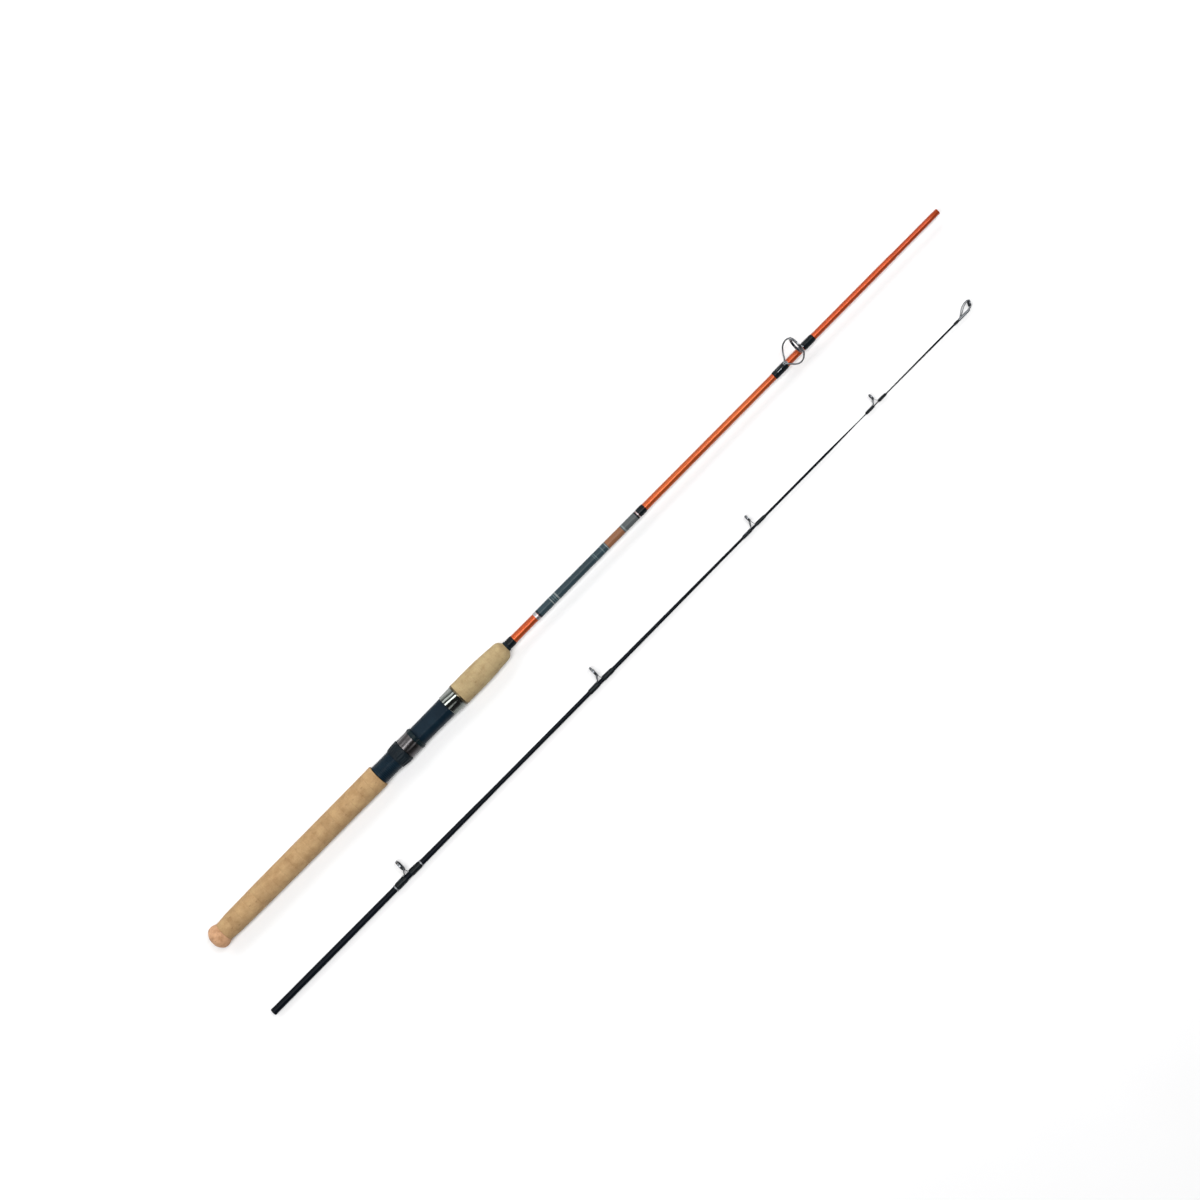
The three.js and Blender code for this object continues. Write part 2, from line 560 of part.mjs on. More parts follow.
function buttSection() {
  const section = new THREE.Group();
  const blank = BUTT_BLANK_OUTER;
  const onBlank = (name, span, wall, finishName) => blankSleeve(
    name, span, blank, wall, GRIP_SEGMENTS, finishName);
  section.add(
    buttCap(),
    ...gripRings('rear_grip_cork', REAR_GRIP_SPAN, REAR_GRIP_RINGS, REAR_GRIP_OUTLINE),
    piece('butt_blank', turnedTube(BUTT_BLANK_OUTER, BUTT_BLANK_BORE, GRIP_SEGMENTS), 'orangeBlank'),
    ...reelSeat(),
    ...gripRings('fore_grip_cork', FORE_GRIP_SPAN, FORE_GRIP_RINGS, FORE_GRIP_OUTLINE),
    onBlank('winding_check', WINDING_CHECK_SPAN, COLLAR_WALL, 'softBlack'),
    onBlank('grip_wrap', GRIP_WRAP_SPAN, HEAVY_WRAP_WALL, 'thread'),
    onBlank('label_trim_rear', LABEL_TRIM_REAR_SPAN, BAND_WALL, 'silverTrim'),
    onBlank('label_sleeve', LABEL_SPAN, LABEL_WALL, 'label'),
    onBlank('label_trim_front', LABEL_TRIM_FRONT_SPAN, BAND_WALL, 'silverTrim'),
    onBlank('trim_wrap', TRIM_WRAP_SPAN, HEAVY_WRAP_WALL, 'thread'),
    ...stripperGuide(STRIPPER, blank),
  );
  section.position.copy(BUTT_REAR);
  section.rotation.x = -THREE.MathUtils.degToRad(BUTT_ROLL_DEG);
  return section;
}

function tipSection() {
  const section = new THREE.Group();
  const blank = TIP_BLANK_OUTER;
  const socketBore = [[0, SOCKET_BORE_RADIUS], [SOCKET_LENGTH, SOCKET_BORE_RADIUS]];
  const boreEnd = TIP_BLANK_BORE[TIP_BLANK_BORE.length - 1][0];
  const tipBlank = [
    ...blank, [TIP_BLANK_END, 0], [boreEnd, 0], ...[...TIP_BLANK_BORE].reverse(), blank[0],
  ];
  section.add(
    piece('ferrule_socket', turnedTube(SOCKET_OUTLINE, socketBore, GRIP_SEGMENTS), 'darkBlank'),
    piece('tip_blank', turned(tipBlank, TIP_SEGMENTS), 'darkBlank'),
    ...TIP_GUIDES.flatMap((guide) => tipGuide(guide, blank)),
    ...guideTrims(TIP_GUIDES[0], blank),
    blankSleeve('tip_top_wrap', TIP_TOP_WRAP_SPAN, blank, WRAP_WALL, TIP_SEGMENTS, 'thread'),
    ...tipTop(TIP_TOP),
  );
  section.position.copy(TIP_REAR);
  section.rotation.x = -THREE.MathUtils.degToRad(TIP_ROLL_DEG);
  return section;
}

const rod = new THREE.Group();
rod.add(buttSection(), tipSection());

export default rod;
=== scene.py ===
"""Looks of a two-piece spinning rod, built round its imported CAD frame.

Shapes are drawn in millimetres in the frame of their own section: x runs from the section's
rear end along its axis, and angle 0 is the side where its line guides stand. Section.matrix
puts them where the CAD has them, in metres.
"""
import json
import math

import bmesh
import bpy
from mathutils import Matrix, Vector


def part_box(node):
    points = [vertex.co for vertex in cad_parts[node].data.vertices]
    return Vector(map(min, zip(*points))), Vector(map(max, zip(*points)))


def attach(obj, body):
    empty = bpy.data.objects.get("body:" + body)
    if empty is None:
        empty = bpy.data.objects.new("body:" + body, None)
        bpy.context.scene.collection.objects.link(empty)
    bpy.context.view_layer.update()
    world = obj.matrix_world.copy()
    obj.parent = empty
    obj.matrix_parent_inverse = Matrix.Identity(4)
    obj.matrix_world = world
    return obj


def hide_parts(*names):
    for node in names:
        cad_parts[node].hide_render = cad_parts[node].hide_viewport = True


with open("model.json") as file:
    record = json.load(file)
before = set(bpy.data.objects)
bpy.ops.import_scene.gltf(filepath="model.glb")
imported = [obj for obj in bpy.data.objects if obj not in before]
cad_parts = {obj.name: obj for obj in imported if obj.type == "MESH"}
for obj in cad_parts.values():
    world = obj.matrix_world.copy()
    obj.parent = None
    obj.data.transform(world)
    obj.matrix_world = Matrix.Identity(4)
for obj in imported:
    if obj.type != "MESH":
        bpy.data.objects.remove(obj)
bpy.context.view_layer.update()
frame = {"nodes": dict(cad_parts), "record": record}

MM = 0.001
WELD = 2e-7
SHARP = math.radians(38)

# ------------------------------------------------------------------ sections and measuring


class Section:
    """One half of the rod, and the CAD body it rides on."""

    def __init__(self, body, rear_node, axis_node, roll):
        self.body = body
        self.origin = (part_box(axis_node)[0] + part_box(axis_node)[1]) / 2
        self.origin.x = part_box(rear_node)[0].x
        turn = Matrix.Rotation(-roll, 4, "X")
        self.matrix = Matrix.Translation(self.origin) @ turn @ Matrix.Scale(MM, 4)
        self.inverse = self.matrix.inverted()

    def span(self, node):
        """Where a node starts and ends along the section."""
        low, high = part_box(node)
        return (low.x - self.origin.x) / MM, (high.x - self.origin.x) / MM

    def outline(self, node):
        """[(x, radius)] of a turned node's outside, from rear to front."""
        widest = {}
        for vertex in frame["nodes"][node].data.vertices:
            x, y, z = self.inverse @ vertex.co
            station = round(x, 2)
            widest[station] = max(widest.get(station, 0.0), math.hypot(y, z))
        return sorted(widest.items())

    def ring_centre(self, node):
        """Middle of a guide ring in the section's frame."""
        low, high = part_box(node)
        return self.inverse @ ((low + high) / 2)


def roll_from_land():
    land = next(m for m in frame["record"]["mounts"] if m["name"] == "reel_foot_land")
    return math.atan2(land["axis"][1], land["axis"][2])


def roll_from_guide(ring_node, axis_node):
    ring = (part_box(ring_node)[0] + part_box(ring_node)[1]) / 2
    axis = (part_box(axis_node)[0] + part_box(axis_node)[1]) / 2
    return math.atan2(ring.y - axis.y, ring.z - axis.z)


BUTT = Section("butt_section", "butt_cap", "butt_blank", roll_from_land())
TIP = Section("tip_section", "ferrule_socket", "ferrule_socket",
              roll_from_guide("guide_1_ceramic", "ferrule_socket"))


def radius_at(outline, x):
    """Radius of an outline at x, by straight lines between its points."""
    if x <= outline[0][0]:
        return outline[0][1]
    for (x0, r0), (x1, r1) in zip(outline, outline[1:]):
        if x <= x1:
            return r0 + (r1 - r0) * (x - x0) / max(x1 - x0, 1e-9)
    return outline[-1][1]


# ------------------------------------------------------------------ shells


def curve_through(points, steps):
    """Catmull-Rom curve through points of any dimension, steps to each span."""
    knots = [Vector(p) for p in points]
    knots = [2 * knots[0] - knots[1], *knots, 2 * knots[-1] - knots[-2]]
    found = []
    for a, b, c, d in zip(knots, knots[1:], knots[2:], knots[3:]):
        for k in range(steps):
            t = k / steps
            found.append(0.5 * (2 * b + (c - a) * t + (2 * a - 5 * b + 4 * c - d) * t * t
                                + (3 * b - a - 3 * c + d) * t ** 3))
    return [*found, knots[-2]]


def rounded(points, size, steps=3, closed=True):
    """The same outline with every corner cut back by size and rounded off."""
    corners = [Vector(p) for p in points]
    found = []
    for i, corner in enumerate(corners):
        if not closed and i in (0, len(corners) - 1):
            found.append(corner)
            continue
        before, after = corners[i - 1], corners[(i + 1) % len(corners)]
        start = corner + (before - corner) * min(0.5, size / max((before - corner).length, 1e-9))
        end = corner + (after - corner) * min(0.5, size / max((after - corner).length, 1e-9))
        for k in range(steps + 1):
            t = k / steps
            found.append(start * (1 - t) ** 2 + corner * (2 * t * (1 - t)) + end * t * t)
    return found


def revolve(profile, sides, closed=True):
    """Shell turned about the x axis. profile is [(x, radius)], or a function of the angle that
    returns one with the same number of points every time."""
    verts = []
    for i in range(sides):
        angle = math.tau * i / sides
        points = profile(angle) if callable(profile) else profile
        verts += [(x, r * math.sin(angle), r * math.cos(angle)) for x, r in points]
    count = len(verts) // sides
    faces = []
    for i in range(sides):
        here, there = i * count, (i + 1) % sides * count
        for k in range(count if closed else count - 1):
            nxt = (k + 1) % count
            faces.append((here + k, here + nxt, there + nxt, there + k))
    return verts, faces


def sweep(path, size, sides, power=2.0):
    """Bar along a path. size(t) gives half its width, which lies along y, and half its height
    at share t of the path; power 2 is an ellipse, and more is squarer."""
    verts, faces = [], []
    count = len(path)
    side = Vector((0, 1, 0))
    for i, point in enumerate(path):
        along = (path[min(i + 1, count - 1)] - path[max(i - 1, 0)]).normalized()
        side = (side - along * side.dot(along)).normalized()
        up = along.cross(side)
        wide, tall = size(i / (count - 1))
        for k in range(sides):
            c, s = math.cos(math.tau * k / sides), math.sin(math.tau * k / sides)
            u = math.copysign(abs(c) ** (2 / power), c) * wide
            v = math.copysign(abs(s) ** (2 / power), s) * tall
            verts.append(tuple(point + side * u + up * v))
    for i in range(count - 1):
        for k in range(sides):
            nxt = (k + 1) % sides
            faces.append((i * sides + k, i * sides + nxt, (i + 1) * sides + nxt, (i + 1) * sides + k))
    faces.append(tuple(range(sides)))
    faces.append(tuple(range((count - 1) * sides, count * sides)))
    return verts, faces


def moved(shell, matrix):
    verts, faces = shell
    return [tuple(matrix @ Vector(v)) for v in verts], faces


# ------------------------------------------------------------------ materials


def srgb(red, green, blue):
    """Linear colour of an 8-bit one."""
    linear = [(c / 255 / 12.92) if c <= 10 else ((c / 255 + 0.055) / 1.055) ** 2.4
              for c in (red, green, blue)]
    return (*linear, 1.0)


class Look:
    """A Principled material and short ways to add nodes to it."""

    def __init__(self, name, **sockets):
        self.material = bpy.data.materials.new(name)
        self.material.use_nodes = True
        self.tree = self.material.node_tree
        self.surface = self.tree.nodes["Principled BSDF"]
        self.set(self.surface, sockets)
        self.place = self.add("ShaderNodeTexCoord").outputs["Object"]

    def set(self, node, inputs):
        for key, value in inputs.items():
            socket = node.inputs[key if isinstance(key, int) else key.replace("_", " ")]
            if isinstance(value, bpy.types.NodeSocket):
                self.tree.links.new(value, socket)
            else:
                socket.default_value = value

    def add(self, kind, settings=None, **inputs):
        node = self.tree.nodes.new(kind)
        for key, value in (settings or {}).items():
            setattr(node, key, value)
        self.set(node, inputs)
        return node

    def stretched(self, stretch):
        node = self.add("ShaderNodeVectorMath", {"operation": "MULTIPLY"})
        self.set(node, {0: self.place, 1: stretch})
        return node.outputs[0]

    def noise(self, scale, detail=4.0, stretch=(1, 1, 1), roughness=0.55):
        return self.add("ShaderNodeTexNoise", Vector=self.stretched(stretch), Scale=scale,
                        Detail=detail, Roughness=roughness).outputs[0]

    def cells(self, scale, stretch=(1, 1, 1)):
        return self.add("ShaderNodeTexVoronoi", Vector=self.stretched(stretch), Scale=scale)

    def lines(self, pitch):
        """Fine rings round the rod, one to each pitch in metres."""
        return self.add("ShaderNodeTexWave", {"wave_type": "BANDS", "bands_direction": "X"},
                        Vector=self.place, Scale=math.tau / 20 / pitch).outputs["Fac"]

    def math(self, operation, a, b=0.0):
        node = self.add("ShaderNodeMath", {"operation": operation})
        self.set(node, {0: a, 1: b})
        return node.outputs[0]

    def x(self):
        """Place along the rod in metres."""
        return self.add("ShaderNodeSeparateXYZ", Vector=self.place).outputs[0]

    def spread(self, value, low, high):
        """A value of 0 to 1 turned into one of low to high."""
        return self.add("ShaderNodeMapRange", Value=value, To_Min=low, To_Max=high).outputs[0]

    def ramp_node(self, value, stops, interpolation="LINEAR"):
        node = self.add("ShaderNodeValToRGB", Fac=value)
        ramp = node.color_ramp
        ramp.interpolation = interpolation
        while len(ramp.elements) < len(stops):
            ramp.elements.new(1.0)
        for element, (position, colour) in zip(ramp.elements, stops):
            element.position = position
        for element, (position, colour) in zip(ramp.elements, stops):
            element.color = colour if isinstance(colour, tuple) else (colour, colour, colour, 1.0)
        return node

    def ramp(self, value, stops):
        return self.ramp_node(value, stops).outputs["Color"]

    def mix(self, share, a, b, blend="MIX"):
        node = self.add("ShaderNodeMix", {"data_type": "RGBA", "blend_type": blend})
        self.set(node, {0: share, 6: a, 7: b})
        return node.outputs[2]

    def bump(self, height, depth, strength=1.0, under=None):
        """Relief of that depth in metres, on top of another one."""
        node = self.add("ShaderNodeBump", Height=height, Distance=depth, Strength=strength)
        if under is not None:
            self.set(node, {"Normal": under})
        return node.outputs[0]

    def finish(self, **sockets):
        self.set(self.surface, sockets)
        return self.material


def cork(name, light, middle, dark, disc, first, fleck=0.3, coarse=1.0, fading=None):
    """Sanded cork: soft mottling, a few pits and short dark veins, and a seam at each disc.
    fading is a tint and the two places along the rod between which it sets in."""
    look = Look(name, Specular_IOR_Level=0.2)
    soft = look.noise(110 * coarse, 5.0, (0.8, 1, 1), 0.6)
    fine = look.noise(900, 3.0)
    colour = look.ramp(soft, [(0.28, dark), (0.50, middle), (0.72, light)])
    speckle = look.ramp(fine, [(0.35, 0.90), (0.65, 1.05)])
    colour = look.mix(0.7, colour, speckle, "MULTIPLY")
    place = look.math("DIVIDE", look.math("SUBTRACT", look.x(), first), disc)
    tone = look.add("ShaderNodeTexWhiteNoise", {"noise_dimensions": "1D"},
                    W=look.math("FLOOR", place)).outputs[0]
    tint = look.ramp(tone, [(0, (0.90, 0.89, 0.88, 1)), (1, (1.05, 1.04, 1.03, 1))])
    colour = look.mix(0.6, colour, tint, "MULTIPLY")
    if fading is not None:
        share = look.add("ShaderNodeMapRange", Value=look.x(), From_Min=fading[1], From_Max=fading[2])
        colour = look.mix(share.outputs[0], colour, look.mix(1.0, colour, fading[0], "MULTIPLY"))
    pits = look.cells(230 * coarse, (0.55, 1, 1))
    pick = look.add("ShaderNodeSeparateColor", Color=pits.outputs["Color"]).outputs[0]
    seldom = look.math("GREATER_THAN", pick, 0.72)
    pit = look.math("MULTIPLY", look.math("LESS_THAN", pits.outputs["Distance"], 0.17), seldom)
    vein = look.ramp(look.noise(260 * coarse, 6.0, (2.6, 1, 1), 0.7), [(0.62, 0.0), (0.78, 1.0)])
    colour = look.mix(look.math("MULTIPLY", pit, fleck), colour, (0.13, 0.062, 0.028, 1))
    colour = look.mix(look.math("MULTIPLY", vein, fleck * 0.6), colour, (0.20, 0.105, 0.05, 1))
    from_middle = look.math("SUBTRACT", look.math("FRACT", look.math("ADD", place, 0.5)), 0.5)
    seam = look.math("LESS_THAN", look.math("ABSOLUTE", from_middle), 0.012)
    colour = look.mix(look.math("MULTIPLY", seam, 0.22), colour, (0.24, 0.13, 0.065, 1))
    relief = look.bump(fine, 0.00010, 0.5)
    relief = look.bump(look.math("SUBTRACT", 1.0, pit), 0.00030, 0.7, relief)
    rough = look.spread(soft, 0.60, 0.84)
    return look.finish(Base_Color=colour, Roughness=rough, Normal=relief)


def plastic(name, tone, worn, roughness, grain=0.00004, scale=1500, shine=0.2):
    """Moulded plastic with a fine grain, slightly paler where hands rub it."""
    look = Look(name, Specular_IOR_Level=shine)
    rub = look.ramp(look.noise(60, 5.0), [(0.45, 0.0), (0.75, 1.0)])
    rough = look.spread(look.noise(220, 6.0), roughness - 0.08, roughness + 0.1)
    return look.finish(Base_Color=look.mix(rub, tone, worn), Roughness=rough,
                       Normal=look.bump(look.noise(scale, 2.0), grain, 0.6))


def metal(name, tone, dull, roughness, brushed=(60, 1, 1), depth=0.00001):
    """Polished metal with hairline marks running round it and faint smudges."""
    look = Look(name, Metallic=1.0)
    smudge = look.noise(90, 5.0)
    colour = look.mix(look.ramp(smudge, [(0.42, 0.0), (0.72, 1.0)]), tone, dull)
    hair = look.noise(240, 3.0, brushed)
    return look.finish(Base_Color=colour, Roughness=look.spread(smudge, roughness * 0.7, roughness * 1.6),
                       Normal=look.bump(hair, depth, 0.5))


def lacquer(name, tone, deep, pitch, flake, roughness=0.24, coat=0.25, metallic=0.0, shine=0.1,
            warmth=None):
    """Painted blank under clear coat, with the faint ridges that its tape left before painting.
    warmth is a tint, the places along the rod that its span runs between, and its strength there."""
    look = Look(name, Coat_Weight=coat, Coat_Roughness=0.10, Specular_IOR_Level=shine, Metallic=metallic)
    cloud = look.ramp(look.noise(45, 5.0, (0.25, 1, 1)), [(0.35, 0.0), (0.7, 1.0)])
    colour = look.mix(cloud, tone, deep)
    if warmth is not None:
        tint, start, end, stops = warmth
        place = look.add("ShaderNodeMapRange", Value=look.x(), From_Min=start, From_Max=end)
        warm = look.mix(1.0, colour, tint, "MULTIPLY")
        colour = look.mix(look.ramp(place.outputs[0], stops), colour, warm)
    spark = look.ramp(look.cells(2600).outputs["Distance"], [(0.0, 0.25), (0.35, 0.0)])
    colour = look.mix(spark, colour, flake)
    wave = look.bump(look.noise(35, 2.0, (0.5, 1, 1)), 0.0003, 0.15)
    rough = look.spread(look.noise(400, 4.0), roughness, roughness + 0.14)
    return look.finish(Base_Color=colour, Roughness=rough, Coat_Normal=wave,
                       Normal=look.bump(look.lines(pitch), 0.00002, 0.35))


def thread(name, tone, glint, pitch=0.00017):
    """Wound thread under clear epoxy: fine turns below, a slightly wavy gloss above."""
    look = Look(name, Coat_Weight=0.15, Coat_Roughness=0.05, Specular_IOR_Level=0.08)
    shade = look.noise(120, 4.0, (2.5, 1, 1))
    colour = look.mix(look.ramp(shade, [(0.4, 0.0), (0.75, 0.8)]), tone, glint)
    wave = look.bump(look.noise(160, 2.0), 0.0002, 0.12)
    return look.finish(Base_Color=colour, Roughness=look.spread(shade, 0.28, 0.5),
                       Normal=look.bump(look.lines(pitch), 0.00005, 0.5), Coat_Normal=wave)


def label_look(name, start, end, bands, base, deep, front):
    """Printed film: plain bands of colour along the rod, under clear coat."""
    look = Look(name, Coat_Weight=0.12, Coat_Roughness=0.10, Specular_IOR_Level=0.1)
    cloud = look.ramp(look.noise(70, 5.0, (0.2, 1, 1)), [(0.35, 0.0), (0.68, 1.0)])
    place = look.add("ShaderNodeMapRange", Value=look.x(), From_Min=start, From_Max=end).outputs[0]
    ground = look.mix(look.ramp(place, [(0.80, 0.0), (0.90, 1.0)]), look.mix(cloud, base, deep), front)
    clear = (0.0, 0.0, 0.0, 0.0)
    stops = [(0.0, clear)]
    for from_share, to_share, colour in bands:
        stops += [(from_share, colour), (to_share, clear)]
    print_node = look.ramp_node(place, stops, "CONSTANT")
    colour = look.mix(print_node.outputs["Alpha"], ground, print_node.outputs["Color"])
    return look.finish(Base_Color=colour, Roughness=look.spread(look.noise(300, 4.0), 0.2, 0.4),
                       Normal=look.bump(look.noise(500, 3.0), 0.00002, 0.5))


DISC = (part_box("rear_grip_cork_2")[0].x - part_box("rear_grip_cork_1")[0].x) / 2
GRIP_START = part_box("rear_grip_cork_1")[0].x
LABEL_START, LABEL_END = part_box("label_sleeve")[0].x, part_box("label_sleeve")[1].x
GRIP_END, FORE_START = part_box("rear_grip_cork_9")[1].x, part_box("fore_grip_cork_1")[0].x
NO_DISC = 1.0  # metres, longer than the piece, so that it shows no seam
BEFORE = -2.0  # a place behind the whole rod

BLANK_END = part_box("butt_blank")[1].x
# Share of the way from the label to the blank's end, and how warm its orange is there
WARM_PART = [(0.0, 0.6), (0.08, 1.0), (0.42, 0.9), (0.62, 0.1), (1.0, 0.0)]

PALE = srgb(118, 126, 126)
SLATE = srgb(50, 68, 76)
STEEL_BLUE = srgb(80, 98, 102)
COPPER = srgb(132, 90, 64)
DARK_BAND = srgb(20, 32, 38)
# Share of the label's length where each printed band starts and ends, and its colour
LABEL_BANDS = [
    (0.000, 0.012, DARK_BAND), (0.129, 0.139, PALE), (0.149, 0.155, STEEL_BLUE),
    (0.166, 0.172, STEEL_BLUE), (0.183, 0.193, PALE), (0.563, 0.569, STEEL_BLUE),
    (0.577, 0.583, STEEL_BLUE), (0.643, 0.649, STEEL_BLUE), (0.681, 0.689, PALE),
    (0.695, 0.850, COPPER), (0.858, 0.868, PALE), (0.985, 1.000, DARK_BAND),
]

LOOKS = {
    "grip_cork": cork("cork", srgb(186, 155, 112), srgb(174, 142, 101), srgb(156, 123, 84),
                      DISC, GRIP_START, fading=((0.97, 1.14, 1.24, 1), GRIP_END, FORE_START)),
    "cap_cork": cork("cap_cork", srgb(212, 168, 130), srgb(198, 154, 118), srgb(170, 126, 88),
                     NO_DISC, BEFORE, 0.5, 1.5),
    "arbor_cork": cork("arbor_cork", srgb(160, 132, 96), srgb(142, 114, 80), srgb(118, 90, 60),
                       NO_DISC, BEFORE),
    "seat_graphite": plastic("seat_graphite", srgb(10, 28, 40), srgb(18, 37, 49), 0.40, shine=0.1),
    "nut_black": plastic("nut_black", srgb(16, 25, 31), srgb(25, 35, 41), 0.42, shine=0.1),
    "lip_black": plastic("lip_black", srgb(10, 26, 31), srgb(18, 34, 39), 0.42, shine=0.12),
    "stainless_band": metal("stainless", (0.092, 0.087, 0.089, 1), (0.066, 0.062, 0.064, 1), 0.30),
    "chrome_hood": metal("chrome", (0.19, 0.205, 0.19, 1), (0.13, 0.142, 0.13, 1), 0.12),
    "gold_trim": metal("gold_trim", (0.165, 0.135, 0.083, 1), (0.115, 0.093, 0.058, 1), 0.3),
    "orange_blank": lacquer("orange_lacquer", srgb(180, 74, 35), srgb(166, 62, 28), 0.0032,
                            srgb(200, 115, 68), metallic=0.55, roughness=0.30,
                            warmth=((1.04, 1.45, 1.45, 1), LABEL_END, BLANK_END, WARM_PART)),
    "dark_blank": lacquer("dark_lacquer", srgb(11, 16, 24), srgb(7, 12, 19), 0.0028, srgb(24, 32, 44),
                          coat=0.04, shine=0.04),
    "label_film": label_look("label", LABEL_START, LABEL_END, LABEL_BANDS, SLATE, srgb(44, 58, 64),
                             srgb(82, 87, 88)),
    "dull_silver": metal("dull_silver", (0.27, 0.28, 0.30, 1), (0.20, 0.21, 0.225, 1), 0.42),
    "silver_trim": metal("silver_trim", (0.48, 0.46, 0.47, 1), (0.36, 0.35, 0.36, 1), 0.38),
    "thread_wrap": thread("thread", srgb(9, 14, 18), srgb(22, 32, 37)),
    "guide_metal": metal("guide_metal", (0.19, 0.20, 0.21, 1), (0.12, 0.128, 0.14, 1), 0.25),
    "ceramic": plastic("ceramic", srgb(20, 26, 34), srgb(32, 40, 50), 0.16, 0.000005, 900, 0.35),
}

# ------------------------------------------------------------------ pieces


def build(name, shells, slot, section, stands_for=(), body=None, look=None):
    """Makes one piece of the shells and puts it on its CAD body."""
    verts, faces = [], []
    for shell_verts, shell_faces in shells:
        first = len(verts)
        verts += [tuple(section.matrix @ Vector(v)) for v in shell_verts]
        faces += [tuple(first + i for i in face) for face in shell_faces]
    mesh = bpy.data.meshes.new(name)
    mesh.from_pydata(verts, [], faces)
    work = bmesh.new()
    work.from_mesh(mesh)
    bmesh.ops.remove_doubles(work, verts=work.verts, dist=WELD)
    bmesh.ops.dissolve_degenerate(work, edges=work.edges, dist=WELD)
    bmesh.ops.recalc_face_normals(work, faces=work.faces)
    work.to_mesh(mesh)
    work.free()
    mesh.polygons.foreach_set("use_smooth", [True] * len(mesh.polygons))
    mesh.set_sharp_from_angle(angle=SHARP)
    mesh.materials.append(LOOKS[look or slot])
    piece = bpy.data.objects.new(name, mesh)
    bpy.context.scene.collection.objects.link(piece)
    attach(piece, body or section.body)
    if stands_for:
        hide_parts(*stands_for)
    return piece


# Cork -------------------------------------------------------------

CORK_BORE = 5.3
SEAM_DEPTH = 0.13
SEAM_WIDTH = 0.22
JOINT_GAP = 0.12


def butt_cap():
    outside = [(x, r) for x, r in BUTT.outline("butt_cap") if r > CORK_BORE + 0.5]
    end, inner = outside[-1], 8.0
    dome = [tuple(p) for p in curve_through(outside, 5)]
    profile = [(0.0, 0.0), (0.0, outside[0][1] * 0.9), *dome, (end[0] + JOINT_GAP, end[1] - 0.3),
               (end[0] + JOINT_GAP, CORK_BORE), (inner, CORK_BORE), (inner, 0.0)]
    build("cork_butt_cap", [revolve(profile, 80, closed=False)], "cap_cork", BUTT, ["butt_cap"])


def cork_discs(node, name, discs):
    """Glued discs, sanded to one outline, with a fine seam between each two."""
    outline = BUTT.outline(node)
    start, end = outline[0][0] - JOINT_GAP, outline[-1][0] + JOINT_GAP
    step = (end - start) / discs
    outside = []
    for i in range(discs):
        x0, x1 = start + i * step, start + (i + 1) * step
        outside.append((x0, radius_at(outline, x0) - SEAM_DEPTH))
        stations = [x0 + SEAM_WIDTH + (step - 2 * SEAM_WIDTH) * k / 5 for k in range(6)]
        corners = [x for x, r in outline if x0 + 2 * SEAM_WIDTH < x < x1 - 2 * SEAM_WIDTH]
        outside += [(x, radius_at(outline, x)) for x in sorted(stations + corners)]
    outside.append((end, radius_at(outline, end) - SEAM_DEPTH))
    bore = [(end, CORK_BORE), (start, CORK_BORE)]
    build(name, [revolve([*outside, *bore], 80)], "grip_cork", BUTT, [node])


# Reel seat ---------------------------------------------------------

SEAT_RADIUS = 11.55
SEAT_FRONT = 11.9
SEAT_FLARE = (323.0, 355.0)  # where the barrel widens from one radius to the other
SEAT_BORE = 8.7
LAND_HEIGHT = 10.2
LAND_START = 286.0
LAND_EASE = 2.5  # length over which the land runs out into the round barrel
THREAD_PITCH = 2.0
THREAD_DEPTH = 0.38
THREAD_RUN = (254.5, 304.5)
THREAD_STEPS = 10  # stations to each turn of the thread
POCKET_HALF = 6.5
POCKET_TOP = 16.1
POCKET_WALL = 1.1
POCKET_BASE = 11.5  # height where an arch that hasn't started to rise lies, just under the skin
POCKET_BASE_INSIDE = 11.3
POCKET_FILLET = 0.7  # softness of the corner between an arch and its ring
POCKET_SINK = 0.03
RUNNING_BORE = 11.75  # hood on the barrel
FIXED_BORE = 12.05
CROWN = 0.75  # height of the arch's round crown, as a share of half its width


def eased(value):
    value = max(0.0, min(1.0, value))
    return value * value * (3 - 2 * value)


def larger(a, b, soft):
    """The larger of two radii, with the corner where they meet filleted."""
    return (a + b + math.sqrt((a - b) ** 2 + soft * soft)) / 2


def arch_reach(angle, half_width, top):
    """Distance from the axis to an arch with upright sides and a round crown."""
    y, z = abs(math.sin(angle)), math.cos(angle)
    if z <= 0:
        return 0.0
    crown = half_width * CROWN
    shoulder = top - crown
    if y > 1e-6 and half_width / y * z <= shoulder:
        return half_width / y
    a = (y / half_width) ** 2 + (z / crown) ** 2
    b = -2 * shoulder * z / crown ** 2
    c = (shoulder / crown) ** 2 - 1
    return (-b + math.sqrt(max(0.0, b * b - 4 * a * c))) / (2 * a)


